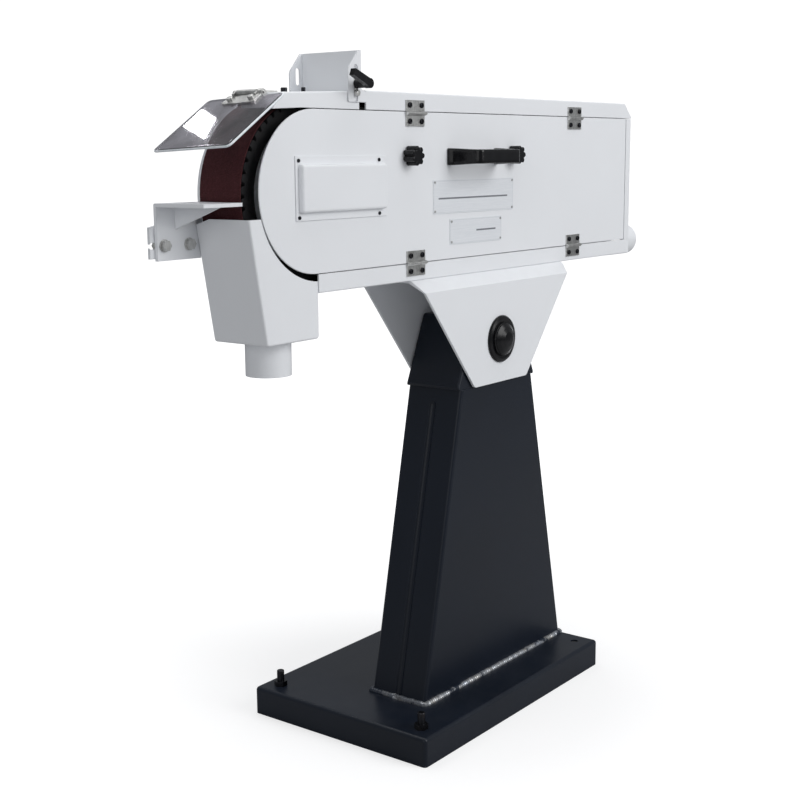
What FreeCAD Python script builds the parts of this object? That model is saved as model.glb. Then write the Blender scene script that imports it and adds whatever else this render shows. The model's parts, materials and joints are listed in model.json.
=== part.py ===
"""Pedestal belt grinder: a 75 mm abrasive belt on a front contact wheel and a rear drum, in a tilting head.

The frame's origin is the centre of the base's underside. +X points to the rear, -Y to the door side, +Z up.
Each function makes one node, and the table at the end names them.
"""
import FreeCAD, Part
import math
import os

Vec = FreeCAD.Vector

# Base tray
BASE_X = 525.0
BASE_Y = 350.0
BASE_Z = 46.0
BASE_SHEET = 4.0
BASE_EDGE_R = 6.0
BOLT_X = 232.0
BOLT_Y = 145.0
BOLT_R = 6.0

# Column and tilt pivot
COLUMN_X = 48.0
COLUMN_Y = -46.0
COLUMN_HALF_Y = 53.0
COLUMN_FOOT_HALF_X = 209.5
COLUMN_SHOULDER_Z = 541.0
COLUMN_SHOULDER_HALF_X = 105.0
COLUMN_TOP_Z = 655.0
COLUMN_TOP_HALF_X = 66.0
COLUMN_SHEET = 4.0
HEAD_ROLL = ((4.0, 0.0), (7.0, 5.0), (5.5, 11.0))
PIVOT_Z = 613.0
PIVOT_R = 15.0
PIVOT_BORE_R = 15.05

# Yoke that carries the head
YOKE_HALF_Y = 58.0
YOKE_SHEET = 4.0
YOKE_BOTTOM_Z = 542.0
YOKE_FOLD_Z = 705.0
CAP_R = 38.7

# Head housing
NEAR_Y = -75.65
FAR_Y = 30.0
SHEET = 2.5
FLOOR_Z = 722.0
SKIRT_TOP_Z = 748.3
DOOR_BOTTOM_Z = 749.3
DOOR_TOP_Z = 973.0
COVER_BOTTOM_Z = 974.2
ROOF_Z = 1001.0
REAR_X = 537.0
REAR_STRIP_X = 518.0
DOOR_REAR_X = 516.5
SKIRT_FRONT_X = -371.5
DOOR_NOSE_X = -375.5
DOOR_NOSE_Z = 861.2
DOOR_NOSE_R = 112.0

# Front hood and top cover
HOOD_FRONT_X = -457.5
HOOD_FRONT_Z = 971.5
HOOD_BROW_X = -436.0
HOOD_BROW_Z = 993.8
HOOD_REAR_X = -277.6
HOOD_REAR_Z = 999.8
COVER_FRONT_X = -262.0
COVER_SLOPE_X = 510.0

# Belt drive
WHEEL_X = -375.0
WHEEL_Z = 858.0
WHEEL_R = 125.0
RIM_OUTER_R = 100.5
RIM_INNER_R = 92.0
DRUM_R = 60.0
BELT_LENGTH = 2000.0
BELT_WIDTH = 75.0
BELT_THICK = 1.5
BELT_NEAR_Y = -55.2
WHEEL_GAP = 0.3
AXLE_R = 12.5
SHAFT_R = 14.0
RUNNING_GAP = 0.05
TREAD_NOTCHES = 48

# Motor
MOTOR_R = 68.0
MOTOR_FIN_R = 76.0
MOTOR_LENGTH = 190.0
MOTOR_FINS = 28

# Door hardware
HINGE_X = (-147.0, 323.0)
HINGE_LEAF_X = 45.0
HINGE_REACH = 19.0
HINGE_SCREW_X = 14.5
HINGE_SCREW_Z = 11.8
LEAF_THICK = 2.0
KNUCKLE_R = 3.2
HINGE_PIN_R = 1.6
LOWER_PIN_Z = 748.8
UPPER_PIN_Z = 971.2
KNOB_X = (-163.0, 119.0)
KNOB_Z = 909.0
STUD_R = 4.0
POST_R = 9.0
POST_BORE_R = 5.2
HANDLE_Z = 907.0

# Dust hopper
HOPPER_TOP_Z = 828.5
HOPPER_BOTTOM_Z = 658.5
HOPPER_ARC_X = -366.0
HOPPER_ARC_Z = 862.0
HOPPER_ARC_R = 123.5
HOPPER_FAR_Y = 25.0
HOPPER_SHEET = 2.0
OUTLET_X = -423.0
OUTLET_Y = -24.5
OUTLET_R = 32.5
OUTLET_END_Z = 609.5

# Rear spigot
SPIGOT_Y = -32.0
SPIGOT_Z = 744.0
SPIGOT_R = 28.5
SPIGOT_END_X = 598.0

# Work table
TABLE_TOP_Z = 851.0
TABLE_FRONT_X = -575.5
TABLE_REAR_X = -505.0
TABLE_NEAR_Y = -62.0
TABLE_LEG_Y = 25.5
TABLE_SHEET = 5.0
TABLE_BOLT_X = (-563.5, -519.0)
TABLE_BOLT_Z = 795.5

# Work stop on top of the hood
STOP_FACE_X = -274.2
STOP_SHEET = 2.0
STOP_TOP_Z = 1055.5
STOP_FLANGE_X = -304.0
CLAMP_X = -287.0
CLAMP_Z = 1009.0

# Eye shield, hung on a pin in front of the hood
SHIELD_PIN_X = -454.5
SHIELD_PIN_Z = 993.5
SHIELD_SLOPE = 32.4
SHIELD_ROLL = 2.7
SHIELD_DROP = 3.7
SHIELD_THICK = 3.0
SHIELD_START = 4.8
SHIELD_LENGTH = 128.0
SHIELD_WIDTH = 144.0
SHIELD_MID_Y = -29.0
SHIELD_SCREW_X = 17.0
SHIELD_SCREW_Y = (SHIELD_MID_Y - 18.5, SHIELD_MID_Y + 20.5)
STRAP_THICK = 2.4
BARREL_R = 4.2
BARREL_LENGTH = 36.0
EAR_R = 3.2
EAR_THICK = 3.0


def box(x0, x1, y0, y1, z0, z1):
    """Block between two corners."""
    return Part.makeBox(x1 - x0, y1 - y0, z1 - z0, Vec(x0, y0, z0))


def rod(radius, start, axis, length):
    """Cylinder from a start point along an axis."""
    return Part.makeCylinder(radius, length, Vec(*start), Vec(*axis))


def ring(outer, inner, start, axis, length):
    """Hollow cylinder."""
    return rod(outer, start, axis, length).cut(rod(inner, start, axis, length))


def hexagon(across_flats, start, axis, length):
    """Hexagonal prism about an axis."""
    corner = across_flats / math.sqrt(3.0)
    points = [Vec(corner * math.cos(math.radians(60 * k)), corner * math.sin(math.radians(60 * k)), 0)
              for k in range(7)]
    prism = Part.Face(Part.makePolygon(points)).extrude(Vec(0, 0, length))
    prism.Placement = FreeCAD.Placement(Vec(*start), FreeCAD.Rotation(Vec(0, 0, 1), Vec(*axis)))
    return prism


def plate_xz(points, y0, y1):
    """Polygon given as (x, z), made solid from y0 to y1."""
    corners = [Vec(x, y0, z) for x, z in points]
    return Part.Face(Part.makePolygon(corners + corners[:1])).extrude(Vec(0, y1 - y0, 0))


def plate_yz(points, x0, x1):
    """Polygon given as (y, z), made solid from x0 to x1."""
    corners = [Vec(x0, y, z) for y, z in points]
    return Part.Face(Part.makePolygon(corners + corners[:1])).extrude(Vec(x1 - x0, 0, 0))


def wire_plate_xz(edges, y0, y1):
    """Closed outline of edges in the plane y0, made solid to y1."""
    outline = Part.Wire(Part.__sortEdges__(edges))
    return Part.Face(outline).extrude(Vec(0, y1 - y0, 0))


def fuse(shapes):
    """One solid from shapes that touch."""
    joined = shapes[0]
    for shape in shapes[1:]:
        joined = joined.fuse(shape)
    return joined.removeSplitter()


def round_edges(shape, radius, wanted):
    """Fillet the edges that the test picks."""
    edges = [edge for edge in shape.Edges if wanted(edge)]
    return shape.makeFillet(radius, edges)


def runs_along(edge, axis):
    """True for a straight edge parallel to an axis."""
    if not isinstance(edge.Curve, Part.Line):
        return False
    direction = edge.Curve.Direction
    return abs(abs(direction.dot(Vec(*axis))) - 1.0) < 1e-6


def screw_heads(places, radius, height, y_face):
    """Domed pan heads standing out of a face towards -Y, one for each (x, z)."""
    heads = []
    for x, z in places:
        head = rod(radius, (x, y_face, z), (0, -1, 0), height)
        head = round_edges(head, 0.45 * height, lambda edge: abs(edge.CenterOfMass.y - y_face) > 0.9 * height)
        heads.append(head.cut(hexagon(0.9 * radius, (x, y_face - height, z), (0, 1, 0), 0.4 * height)))
    return Part.makeCompound(heads)


# ---------------------------------------------------------------- stand

def base_plinth():
    """Folded tray, open below, with a hole in each corner of its top."""
    half_x = BASE_X / 2
    half_y = BASE_Y / 2
    tray = box(-half_x, half_x, -half_y, half_y, 0, BASE_Z)
    tray = round_edges(tray, BASE_EDGE_R, lambda edge: edge.CenterOfMass.z > 1.0)
    inner_x = half_x - BASE_SHEET
    inner_y = half_y - BASE_SHEET
    tray = tray.cut(box(-inner_x, inner_x, -inner_y, inner_y, -1, BASE_Z - BASE_SHEET))
    for x in (-BOLT_X, BOLT_X):
        for y in (-BOLT_Y, BOLT_Y):
            tray = tray.cut(rod(BOLT_R + 0.5, (x, y, 0), (0, 0, 1), BASE_Z + 1))
    return tray


def base_bolts():
    """Levelling studs on round feet; the front pair stands up through a nut on the tray's top."""
    studs = []
    for x, length in ((-BOLT_X, BASE_Z + 20.0), (BOLT_X, BASE_Z - 7.5)):
        for y in (-BOLT_Y, BOLT_Y):
            stud = rod(BOLT_R, (x, y, 6.0), (0, 0, 1), length)
            stud = round_edges(stud, 1.5, lambda edge: edge.CenterOfMass.z > length + 5.5)
            foot = rod(15.0, (x, y, 0.5), (0, 0, 1), 5.5)
            nuts = [hexagon(19.0, (x, y, BASE_Z - BASE_SHEET - 8.0), (0, 0, 1), 8.0)]
            if x < 0:
                nuts.append(hexagon(19.0, (x, y, BASE_Z), (0, 0, 1), 8.0))
            studs.append(fuse([stud, foot] + nuts))
    return Part.makeCompound(studs)


def column_outline(inset):
    """Side outline of the lower column, drawn in by a sheet's thickness."""
    foot = COLUMN_FOOT_HALF_X - inset
    shoulder = COLUMN_SHOULDER_HALF_X - inset
    return [(COLUMN_X - foot, BASE_Z), (COLUMN_X + foot, BASE_Z),
            (COLUMN_X + shoulder, COLUMN_SHOULDER_Z), (COLUMN_X - shoulder, COLUMN_SHOULDER_Z)]


def column():
    """Tapered sheet column with a swaged groove down the middle of its front face."""
    near = COLUMN_Y - COLUMN_HALF_Y
    far = COLUMN_Y + COLUMN_HALF_Y
    outer = plate_xz(column_outline(0.0), near, far)
    outer = round_edges(outer, 6.0, lambda edge: edge.Length > 450.0)
    hollow = plate_xz(column_outline(COLUMN_SHEET), near + COLUMN_SHEET, far - COLUMN_SHEET)
    lean = math.atan2(COLUMN_FOOT_HALF_X - COLUMN_SHOULDER_HALF_X, COLUMN_SHOULDER_Z - BASE_Z)
    up = Vec(math.sin(lean), 0, math.cos(lean))
    foot = Vec(COLUMN_X - COLUMN_FOOT_HALF_X, COLUMN_Y, BASE_Z)
    groove_r = 8.0
    groove_depth = 3.4
    out = Vec(-math.cos(lean), 0, math.sin(lean))
    start = foot + out * (groove_r - groove_depth) - up * 5.0
    length = (COLUMN_SHOULDER_Z - BASE_Z) / math.cos(lean) - 22.0
    groove = Part.makeCylinder(groove_r, length, start, up)
    groove = groove.fuse(Part.makeSphere(groove_r, start + up * length))
    return outer.cut(hollow).cut(groove)


def foot_weld():
    """Fillet weld all round the column's foot."""
    leg = 6.0
    half_x = COLUMN_FOOT_HALF_X
    half_y = COLUMN_HALF_Y
    spread = box(COLUMN_X - half_x - leg, COLUMN_X + half_x + leg,
                 COLUMN_Y - half_y - leg, COLUMN_Y + half_y + leg, BASE_Z, BASE_Z + leg)
    spread = spread.makeChamfer(leg - 1.0, [edge for edge in spread.Edges
                                            if edge.CenterOfMass.z > BASE_Z + leg - 0.1])
    near = COLUMN_Y - half_y
    far = COLUMN_Y + half_y
    return spread.cut(plate_xz(column_outline(0.0), near, far))


def column_head():
    """Closed taper above the shoulder, with the pivot's bush through it."""
    near = COLUMN_Y - COLUMN_HALF_Y + 1.0
    far = COLUMN_Y + COLUMN_HALF_Y - 1.0

    def outline(inset):
        flank = [(COLUMN_SHOULDER_HALF_X + lip, COLUMN_SHOULDER_Z + rise) for lip, rise in HEAD_ROLL]
        flank = [(half - inset, z) for half, z in flank + [(COLUMN_TOP_HALF_X, COLUMN_TOP_Z - inset)]]
        return ([(COLUMN_X - half, z) for half, z in flank]
                + [(COLUMN_X + half, z) for half, z in reversed(flank)])

    ridge_z = COLUMN_SHOULDER_Z + HEAD_ROLL[1][1]
    outer = round_edges(plate_xz(outline(0.0), near, far), 1.8, lambda edge: runs_along(edge, (0, 1, 0))
                        and abs(edge.CenterOfMass.z - ridge_z) < 0.1)
    outer = round_edges(outer, 5.0, lambda edge: edge.CenterOfMass.z > COLUMN_SHOULDER_Z + 20.0)
    hollow = plate_xz(outline(COLUMN_SHEET), near + COLUMN_SHEET, far - COLUMN_SHEET)
    shell = outer.cut(hollow)
    rim_half = COLUMN_SHOULDER_HALF_X + HEAD_ROLL[0][0]
    rim = box(COLUMN_X - rim_half, COLUMN_X + rim_half, near, far, COLUMN_SHOULDER_Z, COLUMN_SHOULDER_Z + 5.0)
    window_half = COLUMN_SHOULDER_HALF_X - COLUMN_SHEET - 2.0
    rim = rim.cut(box(COLUMN_X - window_half, COLUMN_X + window_half, near + COLUMN_SHEET, far - COLUMN_SHEET,
                      COLUMN_SHOULDER_Z - 1.0, COLUMN_SHOULDER_Z + 6.0))
    bush_start = (COLUMN_X, COLUMN_Y - COLUMN_HALF_Y, PIVOT_Z)
    bush = rod(26.0, bush_start, (0, 1, 0), 2 * COLUMN_HALF_Y)
    bore = rod(PIVOT_BORE_R, bush_start, (0, 1, 0), 2 * COLUMN_HALF_Y)
    return fuse([shell, rim, bush]).cut(bore)


# ---------------------------------------------------------------- tilting head

def yoke_outline():
    """Side outline shared by both yoke plates: lower edge, then up each flank to the fold."""
    return [(-27.0, YOKE_BOTTOM_Z), (127.0, YOKE_BOTTOM_Z), (259.0, YOKE_FOLD_Z), (-160.0, YOKE_FOLD_Z)]


def pivot_hole():
    """Cutter for the pivot's hole through the yoke."""
    return rod(PIVOT_R, (COLUMN_X, COLUMN_Y - 90.0, PIVOT_Z), (0, 1, 0), 180.0)


def yoke_near():
    """Near cheek, folded in at its top to a web that lies under the housing."""
    outer_y = COLUMN_Y - YOKE_HALF_Y
    inner_y = outer_y + YOKE_SHEET
    cheek = plate_xz(yoke_outline(), outer_y, inner_y)
    cheek = round_edges(cheek, 8.0, lambda edge: runs_along(edge, (0, 1, 0)) and edge.CenterOfMass.z < 600.0)
    flare = plate_yz([(outer_y, YOKE_FOLD_Z), (inner_y, YOKE_FOLD_Z), (-72.5, FLOOR_Z - 3.5),
                      (-72.5, FLOOR_Z), (-76.5, FLOOR_Z)], -160.0, 284.0)
    flare = flare.cut(plate_xz([(285.0, YOKE_FOLD_Z - 1), (259.0, YOKE_FOLD_Z - 1), (259.0, YOKE_FOLD_Z),
                                (282.0, FLOOR_Z - 3.0), (284.0, FLOOR_Z), (285.0, FLOOR_Z)],
                               outer_y - 1, -60.0))
    web = box(-160.0, 259.0, -73.0, COLUMN_Y + YOKE_HALF_Y - YOKE_SHEET, FLOOR_Z - 3.5, FLOOR_Z)
    return fuse([cheek, flare, web]).cut(pivot_hole())


def yoke_far():
    """Far cheek, welded to the web and the housing floor."""
    outer_y = COLUMN_Y + YOKE_HALF_Y
    outline = [(-27.0, YOKE_BOTTOM_Z), (127.0, YOKE_BOTTOM_Z), (272.0, FLOOR_Z), (-174.0, FLOOR_Z)]
    cheek = plate_xz(outline, outer_y - YOKE_SHEET, outer_y)
    cheek = round_edges(cheek, 8.0, lambda edge: runs_along(edge, (0, 1, 0)) and edge.CenterOfMass.z < 600.0)
    return cheek.cut(pivot_hole())


def pivot_shaft():
    """Shaft through the yoke and the column's bush, with a nut at each end."""
    near = COLUMN_Y - YOKE_HALF_Y
    shaft = rod(PIVOT_R, (COLUMN_X, near, PIVOT_Z), (0, 1, 0), 2 * YOKE_HALF_Y)
    near_nut = hexagon(46.0, (COLUMN_X, near - 8.0, PIVOT_Z), (0, 1, 0), 8.0)
    far_nut = hexagon(46.0, (COLUMN_X, near + 2 * YOKE_HALF_Y, PIVOT_Z), (0, 1, 0), 8.0)
    return fuse([shaft, near_nut, far_nut])


def domed_cap(face_y, out):
    """Moulded cap: a rim and a raised dome, hollow behind. out is -1 on the near side, +1 on the far side."""
    profile = [(0.0, 17.0), (12.0, 15.8), (20.0, 13.0), (26.0, 9.0), (28.5, 5.0), (33.0, 5.4), (37.0, 4.2),
               (CAP_R, 2.0), (CAP_R, 0.0), (29.0, 0.0), (29.0, 2.0), (27.5, 8.5), (0.0, 12.0)]
    corners = [Vec(COLUMN_X + radius, face_y + out * height, PIVOT_Z) for radius, height in profile]
    face = Part.Face(Part.makePolygon(corners + corners[:1]))
    cap = face.revolve(Vec(COLUMN_X, face_y, PIVOT_Z), Vec(0, 1, 0), 360)
    return cap


def pivot_caps():
    """The two caps over the pivot's nuts."""
    return Part.makeCompound([domed_cap(COLUMN_Y + side * YOKE_HALF_Y, side) for side in (-1.0, 1.0)])


def back_plate():
    """Far wall with a round front, and the rim that curls round behind the wheel."""
    plate_y = FAR_Y - 3.0
    nose_r = 121.0
    top_z = 998.0
    top_x = -300.0
    floor_z = FLOOR_Z + SHEET
    low = plate_xz([(WHEEL_X, WHEEL_Z - nose_r), (WHEEL_X, floor_z), (REAR_X - SHEET, floor_z),
                    (REAR_X - SHEET, 973.0), (COVER_SLOPE_X - 3.0, 996.5), (COVER_SLOPE_X - 3.0, top_z),
                    (top_x, top_z), (WHEEL_X, top_z)], plate_y, FAR_Y)
    nose = rod(nose_r, (WHEEL_X, plate_y, WHEEL_Z), (0, 1, 0), 3.0)
    brow = plate_xz([(-440.0, 945.0), (HOOD_FRONT_X + 58.0, top_z), (WHEEL_X, top_z), (WHEEL_X, 900.0)],
                    plate_y, FAR_Y)
    rim_width = 5.6
    rim = ring(nose_r, nose_r - 3.0, (WHEEL_X, plate_y - rim_width, WHEEL_Z), (0, 1, 0), rim_width)
    rim = rim.cut(box(WHEEL_X, WHEEL_X + 200, -100, 100, 700, 1000))
    rim = rim.cut(box(WHEEL_X - 200, WHEEL_X + 200, -100, 100, 700, 822))
    rim = rim.cut(box(WHEEL_X - 200, WHEEL_X + 200, -100, 100, 962, 1000))
    plate = fuse([low, nose, brow, rim])
    hood_room = plate_xz([(HOOD_BROW_X + 1.0, HOOD_BROW_Z - SHEET), (HOOD_REAR_X, HOOD_REAR_Z - SHEET),
                          (HOOD_REAR_X, top_z + 1), (HOOD_FRONT_X - 10.0, top_z + 1),
                          (HOOD_FRONT_X + 3.4, HOOD_FRONT_Z)], plate_y - 1, FAR_Y + 1)
    stop_room = box(STOP_FACE_X - STOP_SHEET - 2.0, STOP_FACE_X + 2.0, plate_y - 1, FAR_Y + 1,
                    982.0, top_z + 1)
    plate = plate.cut(hood_room).cut(stop_room)
    drum_x, drum_z = drum_centre()
    return plate.cut(rod(SHAFT_R + 3.0, (drum_x, plate_y - 1, drum_z), (0, 1, 0), 5.0))


def drum_centre():
    """Drum axis that gives the belt its stated length with a level top run."""
    rise = WHEEL_R - DRUM_R
    run = 500.0
    for _ in range(60):
        lean = math.asin(rise / math.hypot(run, rise))
        arcs = WHEEL_R * (math.pi + 2 * lean) + DRUM_R * (math.pi - 2 * lean)
        run = (BELT_LENGTH - arcs) / 2
    return WHEEL_X + run, WHEEL_Z + rise


def housing_floor():
    """Floor channel with its near skirt turned up to the door."""
    floor = box(SKIRT_FRONT_X, REAR_X, NEAR_Y, FAR_Y, FLOOR_Z, FLOOR_Z + SHEET)
    skirt = box(SKIRT_FRONT_X, REAR_X, NEAR_Y, NEAR_Y + SHEET, FLOOR_Z, SKIRT_TOP_Z)
    channel = fuse([floor, skirt])
    return round_edges(channel, 2.0, lambda edge: runs_along(edge, (1, 0, 0))
                       and edge.CenterOfMass.y < NEAR_Y + 0.1 and edge.CenterOfMass.z < FLOOR_Z + 0.1)


def housing_rear():
    """Rear wall with a strip turned round to the near side, and a hole for the spigot."""
    wall = box(REAR_X - SHEET, REAR_X, NEAR_Y, FAR_Y, FLOOR_Z + SHEET, DOOR_TOP_Z)
    strip = box(REAR_STRIP_X, REAR_X, NEAR_Y, NEAR_Y + SHEET, SKIRT_TOP_Z, DOOR_TOP_Z)
    lip = box(REAR_X - SHEET, REAR_X, NEAR_Y, NEAR_Y + SHEET, FLOOR_Z + SHEET, SKIRT_TOP_Z)
    shell = fuse([wall, strip]).cut(lip.common(housing_floor()))
    shell = round_edges(shell, 2.2, lambda edge: runs_along(edge, (0, 0, 1))
                        and edge.CenterOfMass.y < NEAR_Y + 0.1 and edge.CenterOfMass.x > REAR_X - 0.1
                        and edge.CenterOfMass.z > SKIRT_TOP_Z)
    hole = rod(SPIGOT_R - 2.0, (REAR_X - 5, SPIGOT_Y, SPIGOT_Z), (1, 0, 0), 10.0)
    floor_gap = box(REAR_X - 10, REAR_X + 10, -70, 20, 700, FLOOR_Z + SHEET + 0.01)
    return shell.cut(hole.cut(floor_gap))


def rear_spigot():
    """Round dust spigot on the rear wall."""
    return ring(SPIGOT_R, SPIGOT_R - 2.0, (REAR_X, SPIGOT_Y, SPIGOT_Z), (1, 0, 0), SPIGOT_END_X - REAR_X)


def hood_roof_z(x):
    """Height of the hood's roof, which falls a little towards the front."""
    return HOOD_BROW_Z + (HOOD_REAR_Z - HOOD_BROW_Z) * (x - HOOD_BROW_X) / (HOOD_REAR_X - HOOD_BROW_X)


def front_hood():
    """Roof over the contact wheel with a slanted brow and a near skirt, its far front corner cut off."""
    corner_y = -20.0
    corner_x = HOOD_FRONT_X + 58.0
    outline = [(HOOD_FRONT_X, HOOD_FRONT_Z), (HOOD_BROW_X, HOOD_BROW_Z), (HOOD_REAR_X, HOOD_REAR_Z)]
    inside = [(HOOD_REAR_X, HOOD_REAR_Z - SHEET), (HOOD_BROW_X + 1.0, HOOD_BROW_Z - SHEET),
              (HOOD_FRONT_X + 3.4, HOOD_FRONT_Z)]
    roof = plate_xz(outline + inside, NEAR_Y, FAR_Y)
    skirt = plate_xz(outline + [(HOOD_REAR_X, COVER_BOTTOM_Z), (-400.0, COVER_BOTTOM_Z)],
                     NEAR_Y, NEAR_Y + SHEET)
    cut_corners = [Vec(HOOD_FRONT_X - 1, corner_y, 0), Vec(HOOD_FRONT_X, corner_y, 0),
                   Vec(corner_x, FAR_Y, 0),
                   Vec(corner_x, FAR_Y + 1, 0), Vec(HOOD_FRONT_X - 1, FAR_Y + 1, 0)]
    far_corner = Part.Face(Part.makePolygon(cut_corners + cut_corners[:1])).extrude(Vec(0, 0, 2 * ROOF_Z))
    hood = fuse([roof.cut(far_corner), skirt])
    return round_edges(hood, 2.2, lambda edge: edge.CenterOfMass.z > HOOD_FRONT_Z + 8.0
                       and edge.CenterOfMass.y < NEAR_Y + 0.1 and edge.CenterOfMass.x < HOOD_REAR_X - 5.0)


def hood_fixings():
    """Two socket screws standing on the hood."""
    hood = front_hood()
    screws = []
    for x, y, radius in ((-393.0, -38.0, 4.5), (-360.0, -44.0, 3.0)):
        top_z = hood_roof_z(x) + 6.5
        head = rod(radius, (x, y, top_z - 8.0), (0, 0, 1), 8.0)
        head = round_edges(head, 1.2, lambda edge: edge.CenterOfMass.z > top_z - 0.1)
        socket = hexagon(radius - 0.6, (x, y, top_z - 2.5), (0, 0, 1), 3.0)
        screws.append(head.cut(socket).cut(hood))
    return Part.makeCompound(screws)


def clamp_post():
    """Lug on the hood's near skirt, with the post for the clamping lever and the work stop's guide pin."""
    lug = box(CLAMP_X - 7.0, CLAMP_X + 7.0, NEAR_Y, NEAR_Y + 3.0, HOOD_REAR_Z - 2.3, CLAMP_Z + 9.0)
    stud = rod(STUD_R, (CLAMP_X, NEAR_Y, CLAMP_Z), (0, -1, 0), 23.0)
    guide_z = CLAMP_Z - 12.5
    guide = rod(3.0, (CLAMP_X, NEAR_Y, guide_z), (0, -1, 0), STOP_SHEET + 1.0)
    head = rod(4.6, (CLAMP_X, NEAR_Y - STOP_SHEET - 0.7, guide_z), (0, -1, 0), 5.0)
    head = round_edges(head, 2.0, lambda edge: edge.CenterOfMass.y < NEAR_Y - STOP_SHEET - 5.0)
    return fuse([lug.cut(front_hood()), stud, guide, head])


def work_stop():
    """U-shaped sheet standing behind the hood, open to the front, with a slot in each flange."""
    near_y = NEAR_Y - 0.4
    far_y = FAR_Y + 0.4
    foot_z = 984.0
    upper = [(STOP_FACE_X, STOP_TOP_Z), (STOP_FACE_X - 6.0, STOP_TOP_Z), (STOP_FLANGE_X, STOP_TOP_Z - 26.0)]
    foot_x = COVER_FRONT_X - 1.5
    near_foot = [(STOP_FLANGE_X, foot_z), (foot_x, foot_z), (foot_x, 998.0), (STOP_FACE_X, 1002.0)]
    near = plate_xz(near_foot + upper, near_y - STOP_SHEET, near_y)
    near = round_edges(near, 3.0, lambda edge: runs_along(edge, (0, 1, 0))
                       and edge.CenterOfMass.z < foot_z + 0.1)
    far = plate_xz([(STOP_FLANGE_X, 988.0), (STOP_FACE_X, 988.0)] + upper, far_y, far_y + STOP_SHEET)
    face = box(STOP_FACE_X - STOP_SHEET, STOP_FACE_X, near_y - STOP_SHEET, far_y + STOP_SHEET,
               996.5, STOP_TOP_Z)
    stop = fuse([near, face, far])
    stop = round_edges(stop, 12.0, lambda edge: runs_along(edge, (0, 1, 0)) and edge.Length < 5.0
                       and abs(edge.CenterOfMass.x - STOP_FLANGE_X) < 0.1
                       and edge.CenterOfMass.z > STOP_TOP_Z - 30.0)
    stop = round_edges(stop, 1.8, lambda edge: runs_along(edge, (0, 0, 1)) and edge.Length > 40.0
                       and edge.CenterOfMass.x > STOP_FACE_X - 0.1)
    slot_r = STUD_R + 0.4
    slot_high = CLAMP_Z + 22.0
    for y, slot_low in ((near_y - STOP_SHEET - 1.0, CLAMP_Z - 20.0), (far_y - 1.0, CLAMP_Z + 6.0)):
        slot = box(CLAMP_X - slot_r, CLAMP_X + slot_r, y, y + STOP_SHEET + 2.0, slot_low, slot_high)
        slot = slot.fuse(rod(slot_r, (CLAMP_X, y, slot_low), (0, 1, 0), STOP_SHEET + 2.0))
        slot = slot.fuse(rod(slot_r, (CLAMP_X, y, slot_high), (0, 1, 0), STOP_SHEET + 2.0))
        stop = stop.cut(slot)
    return stop


def clamp_lever():
    """Clamping lever: a hub on the post and an arm that reaches up and forward."""
    hub_start = NEAR_Y - 0.4 - STOP_SHEET - 0.5
    hub = rod(6.2, (CLAMP_X, hub_start, CLAMP_Z), (0, -1, 0), 26.0)
    arm_y = hub_start - 27.0
    reach = 38.0
    arm = plate_xz([(0.0, -5.6), (reach, -4.8), (reach, 4.8), (0.0, 5.6)], arm_y, arm_y + 9.0)
    boss = rod(7.0, (0.0, arm_y, 0.0), (0, 1, 0), 9.0)
    arm = arm.fuse(round_edges(boss, 1.5, lambda edge: edge.CenterOfMass.y < arm_y + 0.1))
    arm.rotate(Vec(0, 0, 0), Vec(0, 1, 0), 180.0 + 22.0)
    arm.translate(Vec(CLAMP_X, 0, CLAMP_Z))
    bore = rod(STUD_R + RUNNING_GAP, (CLAMP_X, hub_start + 1, CLAMP_Z), (0, -1, 0), 22.0)
    return fuse([hub, arm]).cut(bore)


def dust_hopper():
    """Sheet hopper under the wheel, open at the top, with its near side cut round the door."""
    bottom_x = (-478.0, SKIRT_FRONT_X - 0.5)

    def tub(inset, top_z, bottom_z):
        slope = (bottom_x[0] + 508.0) / (HOPPER_TOP_Z - HOPPER_BOTTOM_Z)
        front_low = bottom_x[0] + inset - slope * (bottom_z - HOPPER_BOTTOM_Z)
        front_high = bottom_x[0] + inset - slope * (top_z - HOPPER_BOTTOM_Z)
        rear = bottom_x[1] - inset
        return plate_xz([(front_low, bottom_z), (rear, bottom_z), (rear, top_z), (front_high, top_z)],
                        NEAR_Y + inset, HOPPER_FAR_Y - inset)

    outer = tub(0.0, HOPPER_TOP_Z, HOPPER_BOTTOM_Z)
    outer = round_edges(outer, 5.0, lambda edge: runs_along(edge, (0, 1, 0))
                        and edge.CenterOfMass.z < HOPPER_BOTTOM_Z + 1)
    outer = round_edges(outer, 3.0, lambda edge: edge.CenterOfMass.x < -485.0
                        and edge.Length > 150.0)
    shell = outer.cut(tub(HOPPER_SHEET, 900.0, HOPPER_BOTTOM_Z + HOPPER_SHEET))
    wheel_room = rod(HOPPER_ARC_R, (HOPPER_ARC_X, NEAR_Y - 1, HOPPER_ARC_Z), (0, 1, 0), 130.0)
    floor_room = box(SKIRT_FRONT_X - 0.5, 0.0, NEAR_Y - 1, FAR_Y, 700.0, 900.0)
    corner_room = plate_yz([(-3.0, HOPPER_TOP_Z), (HOPPER_FAR_Y + 1, HOPPER_TOP_Z - 8.5),
                            (HOPPER_FAR_Y + 1, HOPPER_TOP_Z + 5), (-3.0, HOPPER_TOP_Z + 5)], -600.0, -485.0)
    rear_room = box(-400.0, -370.0, NEAR_Y + HOPPER_SHEET, FAR_Y, 727.0, 900.0)
    shell = shell.cut(wheel_room).cut(floor_room).cut(corner_room).cut(rear_room)
    return shell.cut(rod(OUTLET_R - 2.0, (OUTLET_X, OUTLET_Y, HOPPER_BOTTOM_Z - 1), (0, 0, 1), 10.0))


def hopper_outlet():
    """Round outlet tube under the hopper."""
    length = HOPPER_BOTTOM_Z - OUTLET_END_Z
    return ring(OUTLET_R, OUTLET_R - 2.0, (OUTLET_X, OUTLET_Y, OUTLET_END_Z), (0, 0, 1), length)


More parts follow.
